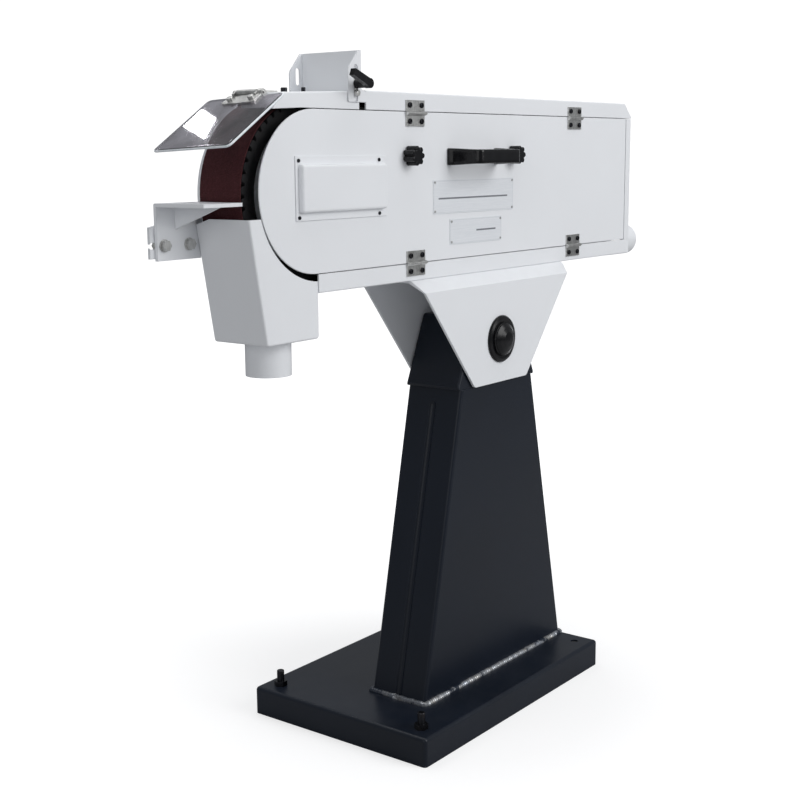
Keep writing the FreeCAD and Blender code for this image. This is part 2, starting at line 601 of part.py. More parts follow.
def wheel_axle():
    """Fixed axle with a flange on the back plate and a nut outside the wheel."""
    start = FAR_Y - 3.0
    axle = rod(AXLE_R, (WHEEL_X, start, WHEEL_Z), (0, -1, 0), 92.0)
    flange = rod(32.0, (WHEEL_X, start, WHEEL_Z), (0, -1, 0), 5.0)
    nut = hexagon(30.0, (WHEEL_X, start - 92.0, WHEEL_Z), (0, 1, 0), 10.0)
    return fuse([axle, flange, nut])


def contact_wheel_tyre():
    """Rubber ring with slanting notches round its tread."""
    width = BELT_WIDTH + 1.0
    near = BELT_NEAR_Y - 0.8
    tyre = ring(WHEEL_R, RIM_OUTER_R, (WHEEL_X, near, WHEEL_Z), (0, 1, 0), width)
    depth = 6.0
    slant = 24.0
    notches = []
    for k in range(TREAD_NOTCHES):
        notch = box(-2.6, 2.6, -width, width, WHEEL_R - depth, WHEEL_R + 5.0)
        notch.rotate(Vec(0, 0, 0), Vec(0, 0, 1), slant)
        notch.rotate(Vec(0, 0, 0), Vec(0, 1, 0), 360.0 * k / TREAD_NOTCHES)
        notch.translate(Vec(WHEEL_X, near + width / 2, WHEEL_Z))
        notches.append(notch)
    return tyre.cut(notches)


def contact_wheel_rim():
    """Aluminium rim under the tyre."""
    width = BELT_WIDTH - 3.0
    near = BELT_NEAR_Y + 1.5
    rim = ring(RIM_OUTER_R, RIM_INNER_R, (WHEEL_X, near, WHEEL_Z), (0, 1, 0), width)
    return rim


def contact_wheel_web():
    """Disc and boss that join the rim to the axle."""
    disc = rod(RIM_INNER_R, (WHEEL_X, -18.0, WHEEL_Z), (0, 1, 0), 8.0)
    for k in range(6):
        angle = math.radians(60 * k)
        x = WHEEL_X + 62.0 * math.cos(angle)
        z = WHEEL_Z + 62.0 * math.sin(angle)
        disc = disc.cut(rod(17.0, (x, -20.0, z), (0, 1, 0), 12.0))
    boss = rod(25.0, (WHEEL_X, -52.0, WHEEL_Z), (0, 1, 0), 72.0)
    bore = rod(AXLE_R + RUNNING_GAP, (WHEEL_X, -60.0, WHEEL_Z), (0, 1, 0), 90.0)
    return fuse([disc, boss]).cut(bore)


def belt_loop(offset, y0, y1):
    """Solid inside the belt's path, grown by an offset: both round ends and the straight runs between."""
    drum_x, drum_z = drum_centre()
    lean = 2 * math.atan2(drum_z - WHEEL_Z, drum_x - WHEEL_X)
    big = WHEEL_R + offset
    small = DRUM_R + offset
    wheel_low = (WHEEL_X + big * math.sin(lean), WHEEL_Z - big * math.cos(lean))
    drum_low = (drum_x + small * math.sin(lean), drum_z - small * math.cos(lean))
    runs = plate_xz([(WHEEL_X, WHEEL_Z + big), (drum_x, drum_z + small), (drum_x, drum_z), drum_low,
                     wheel_low, (WHEEL_X, WHEEL_Z)], y0, y1)
    wheel_end = rod(big, (WHEEL_X, y0, WHEEL_Z), (0, 1, 0), y1 - y0)
    drum_end = rod(small, (drum_x, y0, drum_z), (0, 1, 0), y1 - y0)
    return fuse([runs, wheel_end, drum_end])


def abrasive_belt():
    """Belt round the contact wheel and the drum."""
    far = BELT_NEAR_Y + BELT_WIDTH
    outer = belt_loop(WHEEL_GAP + BELT_THICK, BELT_NEAR_Y, far)
    inner = belt_loop(WHEEL_GAP, BELT_NEAR_Y - 1.0, far + 1.0)
    return outer.cut(inner)


def platen():
    """Flat bed under the belt's top run, on a bracket from the back plate."""
    top = WHEEL_Z + WHEEL_R - 0.3
    bed = box(-215.0, 240.0, BELT_NEAR_Y - 2.0, BELT_NEAR_Y + BELT_WIDTH + 2.0, top - 6.0, top)
    bed = round_edges(bed, 2.0, lambda edge: runs_along(edge, (0, 1, 0)) and edge.CenterOfMass.z > top - 0.1)
    arm = box(-190.0, 215.0, -20.0, FAR_Y - 3.0, top - 12.0, top - 6.0)
    foot = box(-190.0, 215.0, FAR_Y - 8.0, FAR_Y - 3.0, top - 42.0, top - 6.0)
    return fuse([bed, arm, foot])


def door_posts():
    """Posts from the back plate that the door's knobs reach."""
    posts = []
    length = FAR_Y - 3.0 - (NEAR_Y + 3.0)
    for x in KNOB_X:
        post = rod(POST_R, (x, FAR_Y - 3.0, KNOB_Z), (0, -1, 0), length)
        posts.append(post.cut(rod(POST_BORE_R, (x, NEAR_Y, KNOB_Z), (0, 1, 0), 18.0)))
    return Part.makeCompound(posts)


# ---------------------------------------------------------------- drive

def drive_drum():
    """Drum on the motor's shaft: a rim, a web and a boss."""
    x, z = drum_centre()
    near = BELT_NEAR_Y - 0.8
    rim = ring(DRUM_R, DRUM_R - 7.0, (x, near, z), (0, 1, 0), BELT_WIDTH + 1.0)
    web = rod(DRUM_R - 7.0, (x, -12.0, z), (0, 1, 0), 8.0)
    boss = rod(24.0, (x, -42.0, z), (0, 1, 0), 50.0)
    return fuse([rim, web, boss]).cut(rod(SHAFT_R, (x, -60.0, z), (0, 1, 0), 90.0))


def motor_shaft():
    """Motor's output shaft, with the washer and screw that hold the drum."""
    x, z = drum_centre()
    shaft = rod(SHAFT_R, (x, -42.0, z), (0, 1, 0), 42.0 + FAR_Y + 14.0)
    washer = rod(20.0, (x, -46.0, z), (0, 1, 0), 4.0)
    head = hexagon(16.0, (x, -53.0, z), (0, 1, 0), 7.0)
    return fuse([shaft, washer, head])


def motor_housing():
    """Finned motor frame with its mounting flange, bored for the shaft."""
    x, z = drum_centre()
    flange = rod(MOTOR_FIN_R, (x, FAR_Y, z), (0, 1, 0), 12.0)
    frame = rod(MOTOR_R, (x, FAR_Y + 12.0, z), (0, 1, 0), MOTOR_LENGTH)
    fins = []
    for k in range(MOTOR_FINS):
        fin = box(-1.5, 1.5, FAR_Y + 12.0, FAR_Y + 12.0 + MOTOR_LENGTH - 14.0, MOTOR_R - 2.0, MOTOR_FIN_R)
        fin.rotate(Vec(0, 0, 0), Vec(0, 1, 0), 360.0 * (k + 0.5) / MOTOR_FINS)
        fin.translate(Vec(x, 0, z))
        fins.append(fin)
    body = flange.fuse([frame] + fins).removeSplitter()
    return body.cut(rod(SHAFT_R + 1.0, (x, FAR_Y - 1, z), (0, 1, 0), 18.0))


def motor_fan_cover():
    """Pressed cover over the motor's fan, with rings of air slots."""
    x, z = drum_centre()
    start = FAR_Y + 12.0 + MOTOR_LENGTH
    cover = rod(MOTOR_FIN_R + 1.0, (x, start, z), (0, 1, 0), 34.0)
    cover = round_edges(cover, 9.0, lambda edge: edge.CenterOfMass.y > start + 33.0)
    cover = cover.cut(rod(MOTOR_FIN_R - 1.0, (x, start, z), (0, 1, 0), 30.0))
    for radius in (24.0, 42.0, 58.0):
        count = int(radius / 4.0)
        for k in range(count):
            angle = 2 * math.pi * k / count
            hole_x = x + radius * math.cos(angle)
            hole_z = z + radius * math.sin(angle)
            cover = cover.cut(rod(4.0, (hole_x, start + 20, hole_z), (0, 1, 0), 20.0))
    return cover


def switch_box():
    """Box on the motor's flank that holds the wiring and the two buttons."""
    x, z = drum_centre()
    left = x - 45.0
    near = FAR_Y + 40.0
    top = z - MOTOR_R + 4.0
    body = box(left, left + 90.0, near, near + 110.0, top - 62.0, top)
    body = round_edges(body, 5.0, lambda edge: runs_along(edge, (0, 0, 1)))
    saddle = rod(MOTOR_FIN_R + 0.2, (x, near - 5, z), (0, 1, 0), 130.0)
    body = body.cut(saddle)
    pads = [rod(13.0, (x + dx, near + 108.0, top - 36.0), (0, 1, 0), 5.0) for dx in (-20.0, 20.0)]
    body = fuse([body] + pads)
    for dx in (-20.0, 20.0):
        body = body.cut(rod(9.0 + RUNNING_GAP, (x + dx, near + 103.0, top - 36.0), (0, 1, 0), 12.0))
    return body


def button(dx, proud):
    """Push button in the switch box, standing proud of its collar."""
    x, z = drum_centre()
    top = z - MOTOR_R + 4.0
    start = FAR_Y + 40.0 + 107.0
    face = FAR_Y + 40.0 + 113.0 + proud
    cap = rod(9.0, (x + dx, start, top - 36.0), (0, 1, 0), face - start)
    return round_edges(cap, 1.2, lambda edge: edge.CenterOfMass.y > face - 0.1)


def cable_gland():
    """Gland under the switch box for the supply cable."""
    x, z = drum_centre()
    top = z - MOTOR_R + 4.0 - 62.0
    place = (x - 22.0, FAR_Y + 70.0)
    collar = hexagon(20.0, (place[0], place[1], top - 7.0), (0, 0, 1), 7.0)
    nose = rod(8.0, (place[0], place[1], top - 19.0), (0, 0, 1), 12.0)
    nose = round_edges(nose, 2.5, lambda edge: edge.CenterOfMass.z < top - 18.9)
    return fuse([collar, nose]).cut(rod(4.5, (place[0], place[1], top - 20.0), (0, 0, 1), 16.0))


# ---------------------------------------------------------------- door and top cover

def door_edges(inset, y):
    """Door outline at a depth: straight sides and a round nose, drawn in by an inset."""
    radius = DOOR_NOSE_R - inset
    rear = DOOR_REAR_X - inset
    top = DOOR_NOSE_Z + radius
    low = DOOR_NOSE_Z - radius
    nose = Part.Arc(Vec(DOOR_NOSE_X, y, top), Vec(DOOR_NOSE_X - radius, y, DOOR_NOSE_Z),
                    Vec(DOOR_NOSE_X, y, low)).toShape()
    return [nose,
            Part.makeLine(Vec(DOOR_NOSE_X, y, low), Vec(rear, y, low)),
            Part.makeLine(Vec(rear, y, low), Vec(rear, y, top)),
            Part.makeLine(Vec(rear, y, top), Vec(DOOR_NOSE_X, y, top))]


def door_panel():
    """Sheet door with its edges returned inward, save at the nose, and a hole for each knob's stud."""
    lip = 12.0
    outer = wire_plate_xz(door_edges(0.0, NEAR_Y), NEAR_Y, NEAR_Y + lip)
    hollow = wire_plate_xz(door_edges(2.0, NEAR_Y + 2.0), NEAR_Y + 2.0, NEAR_Y + lip + 1.0)
    nose_x = DOOR_NOSE_X - DOOR_NOSE_R
    flat_nose = box(nose_x - 1.0, DOOR_NOSE_X + 40.0, NEAR_Y + 2.0, NEAR_Y + lip + 1.0,
                    DOOR_BOTTOM_Z - 1.0, DOOR_TOP_Z + 1.0)
    panel = outer.cut(hollow).cut(flat_nose)
    panel = round_edges(panel, 1.2, lambda edge: edge.Length > 200.0
                        and edge.CenterOfMass.y < NEAR_Y + 0.1 and edge.BoundBox.YLength < 0.1)
    for x in KNOB_X:
        panel = panel.cut(rod(STUD_R + RUNNING_GAP, (x, NEAR_Y - 1, KNOB_Z), (0, 1, 0), 5.0))
    return panel


def hinge_side(x, pin_z, up, with_pin):
    """One side of a hinge. up is +1 for the leaf above the pin and -1 for the one below."""
    pin_y = NEAR_Y - LEAF_THICK - 1.2
    half = HINGE_LEAF_X / 2
    gap = 1.2
    leaf_low = min(pin_z + up * gap, pin_z + up * HINGE_REACH)
    leaf = box(x - half, x + half, NEAR_Y - LEAF_THICK, NEAR_Y, leaf_low, leaf_low + HINGE_REACH - gap)
    for dx in (-HINGE_SCREW_X, HINGE_SCREW_X):
        leaf = leaf.cut(rod(2.6, (x + dx, NEAR_Y - 5, pin_z + up * HINGE_SCREW_Z), (0, 1, 0), 10.0))
    spans = ((x - half, x - 9.0), (x + 9.0, x + half)) if with_pin else ((x - 8.7, x + 8.7),)
    sweep = box(x - half - 1, x + half + 1, NEAR_Y - 20.0, NEAR_Y + 1.0, pin_z - 8.0, pin_z + 8.0)
    pieces = [leaf.cut(rod(KNUCKLE_R + 0.25, (x - half - 1, pin_y, pin_z), (1, 0, 0), HINGE_LEAF_X + 2))]
    for start, end in spans:
        barrel = rod(KNUCKLE_R, (start, pin_y, pin_z), (1, 0, 0), end - start)
        web_low = min(pin_z, pin_z + up * 4.0)
        web = box(start, end, NEAR_Y - LEAF_THICK, NEAR_Y - 0.25, web_low, web_low + 4.0)
        pieces.append(barrel.fuse(web).common(sweep))
    if with_pin:
        pieces.append(rod(HINGE_PIN_R, (x - half, pin_y, pin_z), (1, 0, 0), HINGE_LEAF_X + 4.0))
        return fuse(pieces)
    bore = rod(HINGE_PIN_R + RUNNING_GAP, (x - half, pin_y, pin_z), (1, 0, 0), HINGE_LEAF_X)
    return fuse(pieces).cut(bore)


def hinge_set(pin_z, up, with_pin):
    """The same side of both hinges in a row."""
    return Part.makeCompound([hinge_side(x, pin_z, up, with_pin) for x in HINGE_X])


def hinge_screws(pin_z, up):
    """Button-head screws of one row of hinge leaves."""
    places = [(x + dx, pin_z + up * HINGE_SCREW_Z) for x in HINGE_X for dx in (-HINGE_SCREW_X, HINGE_SCREW_X)]
    return screw_heads(places, 4.2, 2.4, NEAR_Y - LEAF_THICK)


def star_knob(x):
    """Seven-lobed knob with a stud that passes through the door."""
    back = NEAR_Y - 1.0
    front = NEAR_Y - 20.0
    hub = rod(10.6, (x, back, KNOB_Z), (0, -1, 0), back - front)
    hub = round_edges(hub, 1.5, lambda edge: edge.CenterOfMass.y < front + 0.1)
    lobes = []
    for k in range(7):
        angle = 2 * math.pi * k / 7
        lobe_x = x + 10.6 * math.cos(angle)
        lobe_z = KNOB_Z + 10.6 * math.sin(angle)
        lobe = rod(4.2, (lobe_x, back - 0.5, lobe_z), (0, -1, 0), back - front - 0.5)
        lobes.append(round_edges(lobe, 1.5, lambda edge: edge.CenterOfMass.y < front + 0.1))
    stud = rod(STUD_R, (x, NEAR_Y + 12.0, KNOB_Z), (0, -1, 0), 16.0)
    return fuse([hub] + lobes + [stud])


def door_handle():
    """Moulded bridge handle with slightly raked legs that grow taller towards the door."""
    front = NEAR_Y - 55.0
    thick = 9.0
    bar_z = 11.0
    foot_z = 13.0
    outer = [(-66.0, NEAR_Y), (-49.0, front), (64.0, front), (81.0, NEAR_Y),
             (65.0, NEAR_Y), (54.0, front + thick), (-39.0, front + thick), (-50.0, NEAR_Y)]
    corners = [Vec(x, y, HANDLE_Z - foot_z) for x, y in outer]
    grip = Part.Face(Part.makePolygon(corners + corners[:1])).extrude(Vec(0, 0, 2 * foot_z))
    side = [(NEAR_Y, HANDLE_Z - foot_z), (front + thick, HANDLE_Z - bar_z), (front, HANDLE_Z - bar_z),
            (front, HANDLE_Z + bar_z), (front + thick, HANDLE_Z + bar_z), (NEAR_Y, HANDLE_Z + foot_z)]
    grip = grip.common(plate_yz(side, -70.0, 85.0))
    grip = round_edges(grip, 2.0, lambda edge: abs(edge.CenterOfMass.y - front) < 0.1
                       and runs_along(edge, (1, 0, 0)))
    return grip


def access_cover():
    """Pressed cover over the end of the wheel's axle: a flat flange and a raised middle."""
    flange = box(-417.0, -219.0, NEAR_Y - 1.5, NEAR_Y, 823.0, 910.0)
    raised = box(-411.0, -225.0, NEAR_Y - 10.0, NEAR_Y - 1.5, 834.0, 899.0)
    raised = round_edges(raised, 4.0, lambda edge: edge.CenterOfMass.y < NEAR_Y - 2.0)
    return fuse([flange, raised])


def nameplate(x0, x1, z0, z1):
    """Thin blank plate on the door."""
    return box(x0, x1, NEAR_Y - 0.8, NEAR_Y, z0, z1)


def nameplate_rivets():
    """Small rivets in the corners of both plates."""
    places = []
    for x0, x1, z0, z1 in ((-101.0, 125.0, 820.0, 872.0), (-57.0, 90.0, 771.0, 811.0)):
        places += [(x, z) for x in (x0 + 4.0, x1 - 4.0) for z in (z0 + 4.0, z1 - 4.0)]
    rivets = [rod(1.8, (x, NEAR_Y - 0.8, z), (0, -1, 0), 0.9) for x, z in places]
    return Part.makeCompound(rivets)


def top_cover():
    """Lid over the belt's top run: a roof, a near skirt and a sloping rear end."""
    slope = [(COVER_SLOPE_X, ROOF_Z), (REAR_X, COVER_BOTTOM_Z + 2.0), (REAR_X, COVER_BOTTOM_Z),
             (REAR_X - 3.0, COVER_BOTTOM_Z), (COVER_SLOPE_X - 1.5, ROOF_Z - SHEET)]
    roof = box(COVER_FRONT_X, COVER_SLOPE_X, NEAR_Y, FAR_Y, ROOF_Z - SHEET, ROOF_Z)
    skirt = plate_xz([(COVER_FRONT_X, COVER_BOTTOM_Z), (REAR_X, COVER_BOTTOM_Z),
                      (REAR_X, COVER_BOTTOM_Z + 2.0),
                      (COVER_SLOPE_X, ROOF_Z), (COVER_FRONT_X, ROOF_Z)], NEAR_Y, NEAR_Y + SHEET)
    lid = fuse([roof, plate_xz(slope, NEAR_Y, FAR_Y), skirt])
    lid = round_edges(lid, 2.2, lambda edge: runs_along(edge, (1, 0, 0))
                      and edge.CenterOfMass.y < NEAR_Y + 0.1 and edge.CenterOfMass.z > ROOF_Z - 0.1)
    return lid


# ---------------------------------------------------------------- eye shield and work table

def shield_frame(shape, roll):
    """Move a shape drawn flat, with +X down the slope and +Z outward from the pin, to the shield's place."""
    shape.rotate(Vec(0, SHIELD_MID_Y, -SHIELD_DROP), Vec(1, 0, 0), roll)
    shape.rotate(Vec(0, 0, 0), Vec(0, 0, 1), 180.0)
    shape.translate(Vec(0, 2 * SHIELD_MID_Y, 0))
    shape.rotate(Vec(0, 0, 0), Vec(0, 1, 0), -SHIELD_SLOPE)
    shape.translate(Vec(SHIELD_PIN_X, 0, SHIELD_PIN_Z))
    return shape


def eye_shield():
    """Clear flat sheet with round corners, hung a little out of level."""
    half_y = SHIELD_WIDTH / 2
    low = -SHIELD_DROP - SHIELD_THICK / 2
    sheet = box(SHIELD_START, SHIELD_START + SHIELD_LENGTH, SHIELD_MID_Y - half_y, SHIELD_MID_Y + half_y,
                low, low + SHIELD_THICK)
    sheet = round_edges(sheet, 8.0, lambda edge: runs_along(edge, (0, 0, 1)))
    for y in SHIELD_SCREW_Y:
        sheet = sheet.cut(rod(2.6, (SHIELD_SCREW_X, y, low - 1), (0, 0, 1), SHIELD_THICK + 2))
    return shield_frame(sheet, SHIELD_ROLL)


def shield_strap():
    """Strap on the shield, two ears, and the hinge pin with its head and, on the near side, its nut."""
    low = -SHIELD_DROP + SHIELD_THICK / 2
    strap = box(6.5, 26.0, SHIELD_MID_Y - 30.0, SHIELD_MID_Y + 30.0, low, low + STRAP_THICK)
    strap = round_edges(strap, 4.0, lambda edge: runs_along(edge, (0, 0, 1)) and edge.CenterOfMass.x > 20.0)
    for y in SHIELD_SCREW_Y:
        strap = strap.cut(rod(2.6, (SHIELD_SCREW_X, y, low - 1), (0, 0, 1), 5.0))
    strap = shield_frame(strap, SHIELD_ROLL)
    pieces = []
    for y in (-BARREL_LENGTH / 2 - 0.4 - EAR_THICK, BARREL_LENGTH / 2 + 0.4):
        start = SHIELD_MID_Y + y
        foot = low + (y + EAR_THICK) * math.tan(math.radians(SHIELD_ROLL)) + 0.5
        pieces.append(box(0.0, 8.5, start, start + EAR_THICK, foot, EAR_R))
        pieces.append(rod(EAR_R, (0.0, start, 0.0), (0, 1, 0), EAR_THICK))
    far_end = SHIELD_MID_Y - BARREL_LENGTH / 2 - 0.4 - EAR_THICK
    near_end = SHIELD_MID_Y + BARREL_LENGTH / 2 + 0.4 + EAR_THICK
    pieces.append(rod(2.0, (0.0, far_end, 0.0), (0, 1, 0), near_end - far_end + 10.0))
    pieces.append(rod(3.6, (0.0, far_end - 3.0, 0.0), (0, 1, 0), 3.0))
    pieces.append(rod(5.0, (0.0, near_end, 0.0), (0, 1, 0), 1.2))
    pieces.append(hexagon(8.0, (0.0, near_end + 1.2, 0.0), (0, 1, 0), 6.5))
    return fuse([strap, shield_frame(fuse(pieces), 0.0)])


def shield_screws():
    """Screws with nuts through the shield and its strap."""
    low = -SHIELD_DROP - SHIELD_THICK / 2
    high = low + SHIELD_THICK + STRAP_THICK
    screws = []
    for y in SHIELD_SCREW_Y:
        shank = rod(2.5, (SHIELD_SCREW_X, y, low - 5.0), (0, 0, 1), high - low + 6.0)
        head = rod(4.4, (SHIELD_SCREW_X, y, high), (0, 0, 1), 4.5)
        head = round_edges(head, 1.2, lambda edge: edge.CenterOfMass.z > high + 4.4)
        nut = hexagon(8.0, (SHIELD_SCREW_X, y, low - 3.2), (0, 0, 1), 3.2)
        screws.append(fuse([shank, head, nut]))
    return shield_frame(Part.makeCompound(screws), SHIELD_ROLL)


def shield_hinge_base():
    """Arm on the hood's roof that carries the hinge's fixed barrel in front of the brow."""
    start = SHIELD_MID_Y - BARREL_LENGTH / 2
    barrel = rod(BARREL_R, (SHIELD_PIN_X, start, SHIELD_PIN_Z), (0, 1, 0), BARREL_LENGTH)
    rear_x = HOOD_BROW_X + 20.0
    arm = plate_xz([(SHIELD_PIN_X, SHIELD_PIN_Z), (SHIELD_PIN_X, SHIELD_PIN_Z + 4.0),
                    (HOOD_BROW_X, HOOD_BROW_Z + 2.6), (rear_x, hood_roof_z(rear_x) + 2.2),
                    (rear_x, hood_roof_z(rear_x) - 1.0), (HOOD_BROW_X, HOOD_BROW_Z - 1.0),
                    (HOOD_BROW_X - 5.0, HOOD_BROW_Z - 6.2), (SHIELD_PIN_X + 3.0, SHIELD_PIN_Z - 2.6)],
                   start, start + BARREL_LENGTH).cut(front_hood())
    bore = rod(2.0 + RUNNING_GAP, (SHIELD_PIN_X, start - 1, SHIELD_PIN_Z), (0, 1, 0), BARREL_LENGTH + 2)
    return fuse([barrel, arm]).cut(bore)


def table_bracket():
    """Slotted plate from the housing that carries the table."""
    near = TABLE_LEG_Y + TABLE_SHEET + 0.3
    plate = plate_xz([(-584.0, 778.5), (-430.0, 778.5), (-430.0, 835.0), (-500.0, 835.0), (-584.0, 820.0)],
                     near, near + 4.0)
    spacer = box(-480.0, -440.0, FAR_Y, near, 782.0, 831.0)
    bracket = fuse([plate, spacer])
    for x in TABLE_BOLT_X:
        slot = box(x - 17.0, x, near - 1, near + 6.0, TABLE_BOLT_Z - 4.3, TABLE_BOLT_Z + 4.3)
        slot = slot.fuse(rod(4.3, (x, near - 1, TABLE_BOLT_Z), (0, 1, 0), 7.0))
        slot = slot.fuse(rod(4.3, (x - 17.0, near - 1, TABLE_BOLT_Z), (0, 1, 0), 7.0))
        bracket = bracket.cut(slot)
    return bracket


def work_table():
    """Angle with a level top and an upright leg, braced by a gusset."""
    top = box(TABLE_FRONT_X, TABLE_REAR_X, TABLE_NEAR_Y, TABLE_LEG_Y + TABLE_SHEET,
              TABLE_TOP_Z - TABLE_SHEET, TABLE_TOP_Z)
    leg = box(TABLE_FRONT_X, -497.0, TABLE_LEG_Y, TABLE_LEG_Y + TABLE_SHEET, 775.5, TABLE_TOP_Z)
    leg = leg.cut(box(TABLE_REAR_X, -490.0, TABLE_LEG_Y - 1, TABLE_LEG_Y + 10, 822.0, TABLE_TOP_Z + 1))
    gusset = plate_yz([(TABLE_LEG_Y, TABLE_TOP_Z - TABLE_SHEET), (-57.0, TABLE_TOP_Z - TABLE_SHEET),
                       (TABLE_LEG_Y, 816.0)], -543.0, -539.0)
    table = fuse([top, leg, gusset])
    table = round_edges(table, 2.5, lambda edge: runs_along(edge, (1, 0, 0))
                        and edge.CenterOfMass.z > TABLE_TOP_Z - 0.1 and edge.CenterOfMass.y > TABLE_LEG_Y)
    for x in TABLE_BOLT_X:
        table = table.cut(rod(4.2, (x, TABLE_LEG_Y - 1, TABLE_BOLT_Z), (0, 1, 0), 8.0))
    return table


def table_bolts():
    """Bolts with washers that clamp the table's leg to its bracket."""
    bolts = []
    for x in TABLE_BOLT_X:
        washer = rod(8.5, (x, TABLE_LEG_Y - 1.6, TABLE_BOLT_Z), (0, 1, 0), 1.6)
        head = hexagon(13.0, (x, TABLE_LEG_Y - 7.0, TABLE_BOLT_Z), (0, 1, 0), 5.5)
        shank = rod(4.0, (x, TABLE_LEG_Y - 3.0, TABLE_BOLT_Z), (0, 1, 0), 22.0)
        nut = hexagon(13.0, (x, TABLE_LEG_Y + 10.0, TABLE_BOLT_Z), (0, 1, 0), 6.5)
        bolts.append(fuse([washer, head, shank, nut]))
    return Part.makeCompound(bolts)


NODES = {
    "base_plinth": base_plinth,
    "base_bolts": base_bolts,
    "column": column,
    "foot_weld": foot_weld,
    "column_head": column_head,
    "yoke_near": yoke_near,
    "yoke_far": yoke_far,
    "pivot_shaft": pivot_shaft,
    "pivot_caps": pivot_caps,
    "back_plate": back_plate,
    "housing_floor": housing_floor,
    "housing_rear": housing_rear,
    "rear_spigot": rear_spigot,
    "front_hood": front_hood,
    "hood_fixings": hood_fixings,
    "clamp_post": clamp_post,
    "work_stop": work_stop,
    "clamp_lever": clamp_lever,
    "dust_hopper": dust_hopper,
    "hopper_outlet": hopper_outlet,
    "wheel_axle": wheel_axle,
    "contact_wheel_tyre": contact_wheel_tyre,
    "contact_wheel_rim": contact_wheel_rim,
    "contact_wheel_web": contact_wheel_web,
    "abrasive_belt": abrasive_belt,
    "platen": platen,
    "door_posts": door_posts,
    "drive_drum": drive_drum,
    "motor_shaft": motor_shaft,
    "motor_housing": motor_housing,
    "motor_fan_cover": motor_fan_cover,
    "switch_box": switch_box,
    "start_button": lambda: button(-20.0, 1.0),
    "stop_button": lambda: button(20.0, 5.0),
    "cable_gland": cable_gland,
    "door_panel": door_panel,
    "hinge_skirt_leaves": lambda: hinge_set(LOWER_PIN_Z, -1, True),
    "hinge_door_low_leaves": lambda: hinge_set(LOWER_PIN_Z, 1, False),
    "hinge_door_top_leaves": lambda: hinge_set(UPPER_PIN_Z, -1, True),
    "hinge_cover_leaves": lambda: hinge_set(UPPER_PIN_Z, 1, False),
    "hinge_screws_skirt": lambda: hinge_screws(LOWER_PIN_Z, -1),
    "hinge_screws_door_low": lambda: hinge_screws(LOWER_PIN_Z, 1),
    "hinge_screws_door_top": lambda: hinge_screws(UPPER_PIN_Z, -1),
    "hinge_screws_cover": lambda: hinge_screws(UPPER_PIN_Z, 1),
    "star_knob_front": lambda: star_knob(KNOB_X[0]),
    "star_knob_rear": lambda: star_knob(KNOB_X[1]),
    "door_handle": door_handle,
    "access_cover": access_cover,
    "access_cover_screws": lambda: screw_heads([(x, z) for x in (-411.0, -236.0) for z in (827.5, 904.0)],
                                               2.6, 1.8, NEAR_Y - 1.5),
    "nameplate_large": lambda: nameplate(-101.0, 125.0, 820.0, 872.0),
    "nameplate_small": lambda: nameplate(-57.0, 90.0, 771.0, 811.0),
    "nameplate_rivets": nameplate_rivets,
    "top_cover": top_cover,
    "eye_shield": eye_shield,
    "shield_strap": shield_strap,
    "shield_screws": shield_screws,
    "shield_hinge_base": shield_hinge_base,
    "table_bracket": table_bracket,
    "work_table": work_table,
    "table_bolts": table_bolts,
}


def main():
    """Write one STEP file for each node."""
    os.makedirs("parts", exist_ok=True)
    for name, make in NODES.items():
        make().exportStep("parts/" + name + ".step")


main()
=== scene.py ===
import json
import math

import bpy
import numpy as np
from mathutils import Matrix, Vector


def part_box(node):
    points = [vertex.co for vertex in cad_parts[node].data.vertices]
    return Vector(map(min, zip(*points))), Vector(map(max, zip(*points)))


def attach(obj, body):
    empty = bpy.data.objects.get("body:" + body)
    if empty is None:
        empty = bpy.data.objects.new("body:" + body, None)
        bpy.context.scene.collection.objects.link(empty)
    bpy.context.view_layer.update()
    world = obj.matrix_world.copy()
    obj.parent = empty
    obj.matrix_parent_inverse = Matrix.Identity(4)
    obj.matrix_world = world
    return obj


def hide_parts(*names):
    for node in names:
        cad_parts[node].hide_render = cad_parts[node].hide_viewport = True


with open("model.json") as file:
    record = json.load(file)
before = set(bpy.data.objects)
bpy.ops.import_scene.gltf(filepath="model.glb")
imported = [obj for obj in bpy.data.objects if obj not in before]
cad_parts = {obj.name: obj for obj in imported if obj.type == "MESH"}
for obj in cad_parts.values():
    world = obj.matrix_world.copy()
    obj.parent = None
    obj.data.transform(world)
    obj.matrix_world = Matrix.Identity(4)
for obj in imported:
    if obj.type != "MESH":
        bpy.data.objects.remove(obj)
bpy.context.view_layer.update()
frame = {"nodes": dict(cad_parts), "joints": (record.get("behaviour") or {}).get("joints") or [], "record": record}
MM = 0.001
FLOOR_REACH = 60.0
GLINT_SIZE = 0.07
SENSOR_WIDTH = 36.0

bl_info = {
    "name": "Pedestal belt grinder",
    "version": (1, 0, 0),
    "blender": (4, 5, 0),
    "location": "3D View > Sidebar > Grinder",
    "description": "Finishes and detailed pieces of a pedestal belt grinder, built on its frame",
    "category": "Object",
}


def joint_place(name):
    """Where a joint's axis passes, in metres."""
    return next(joint["pos_m"] for joint in frame["joints"] if joint["name"] == name)


# ---------------------------------------------------------------- settings


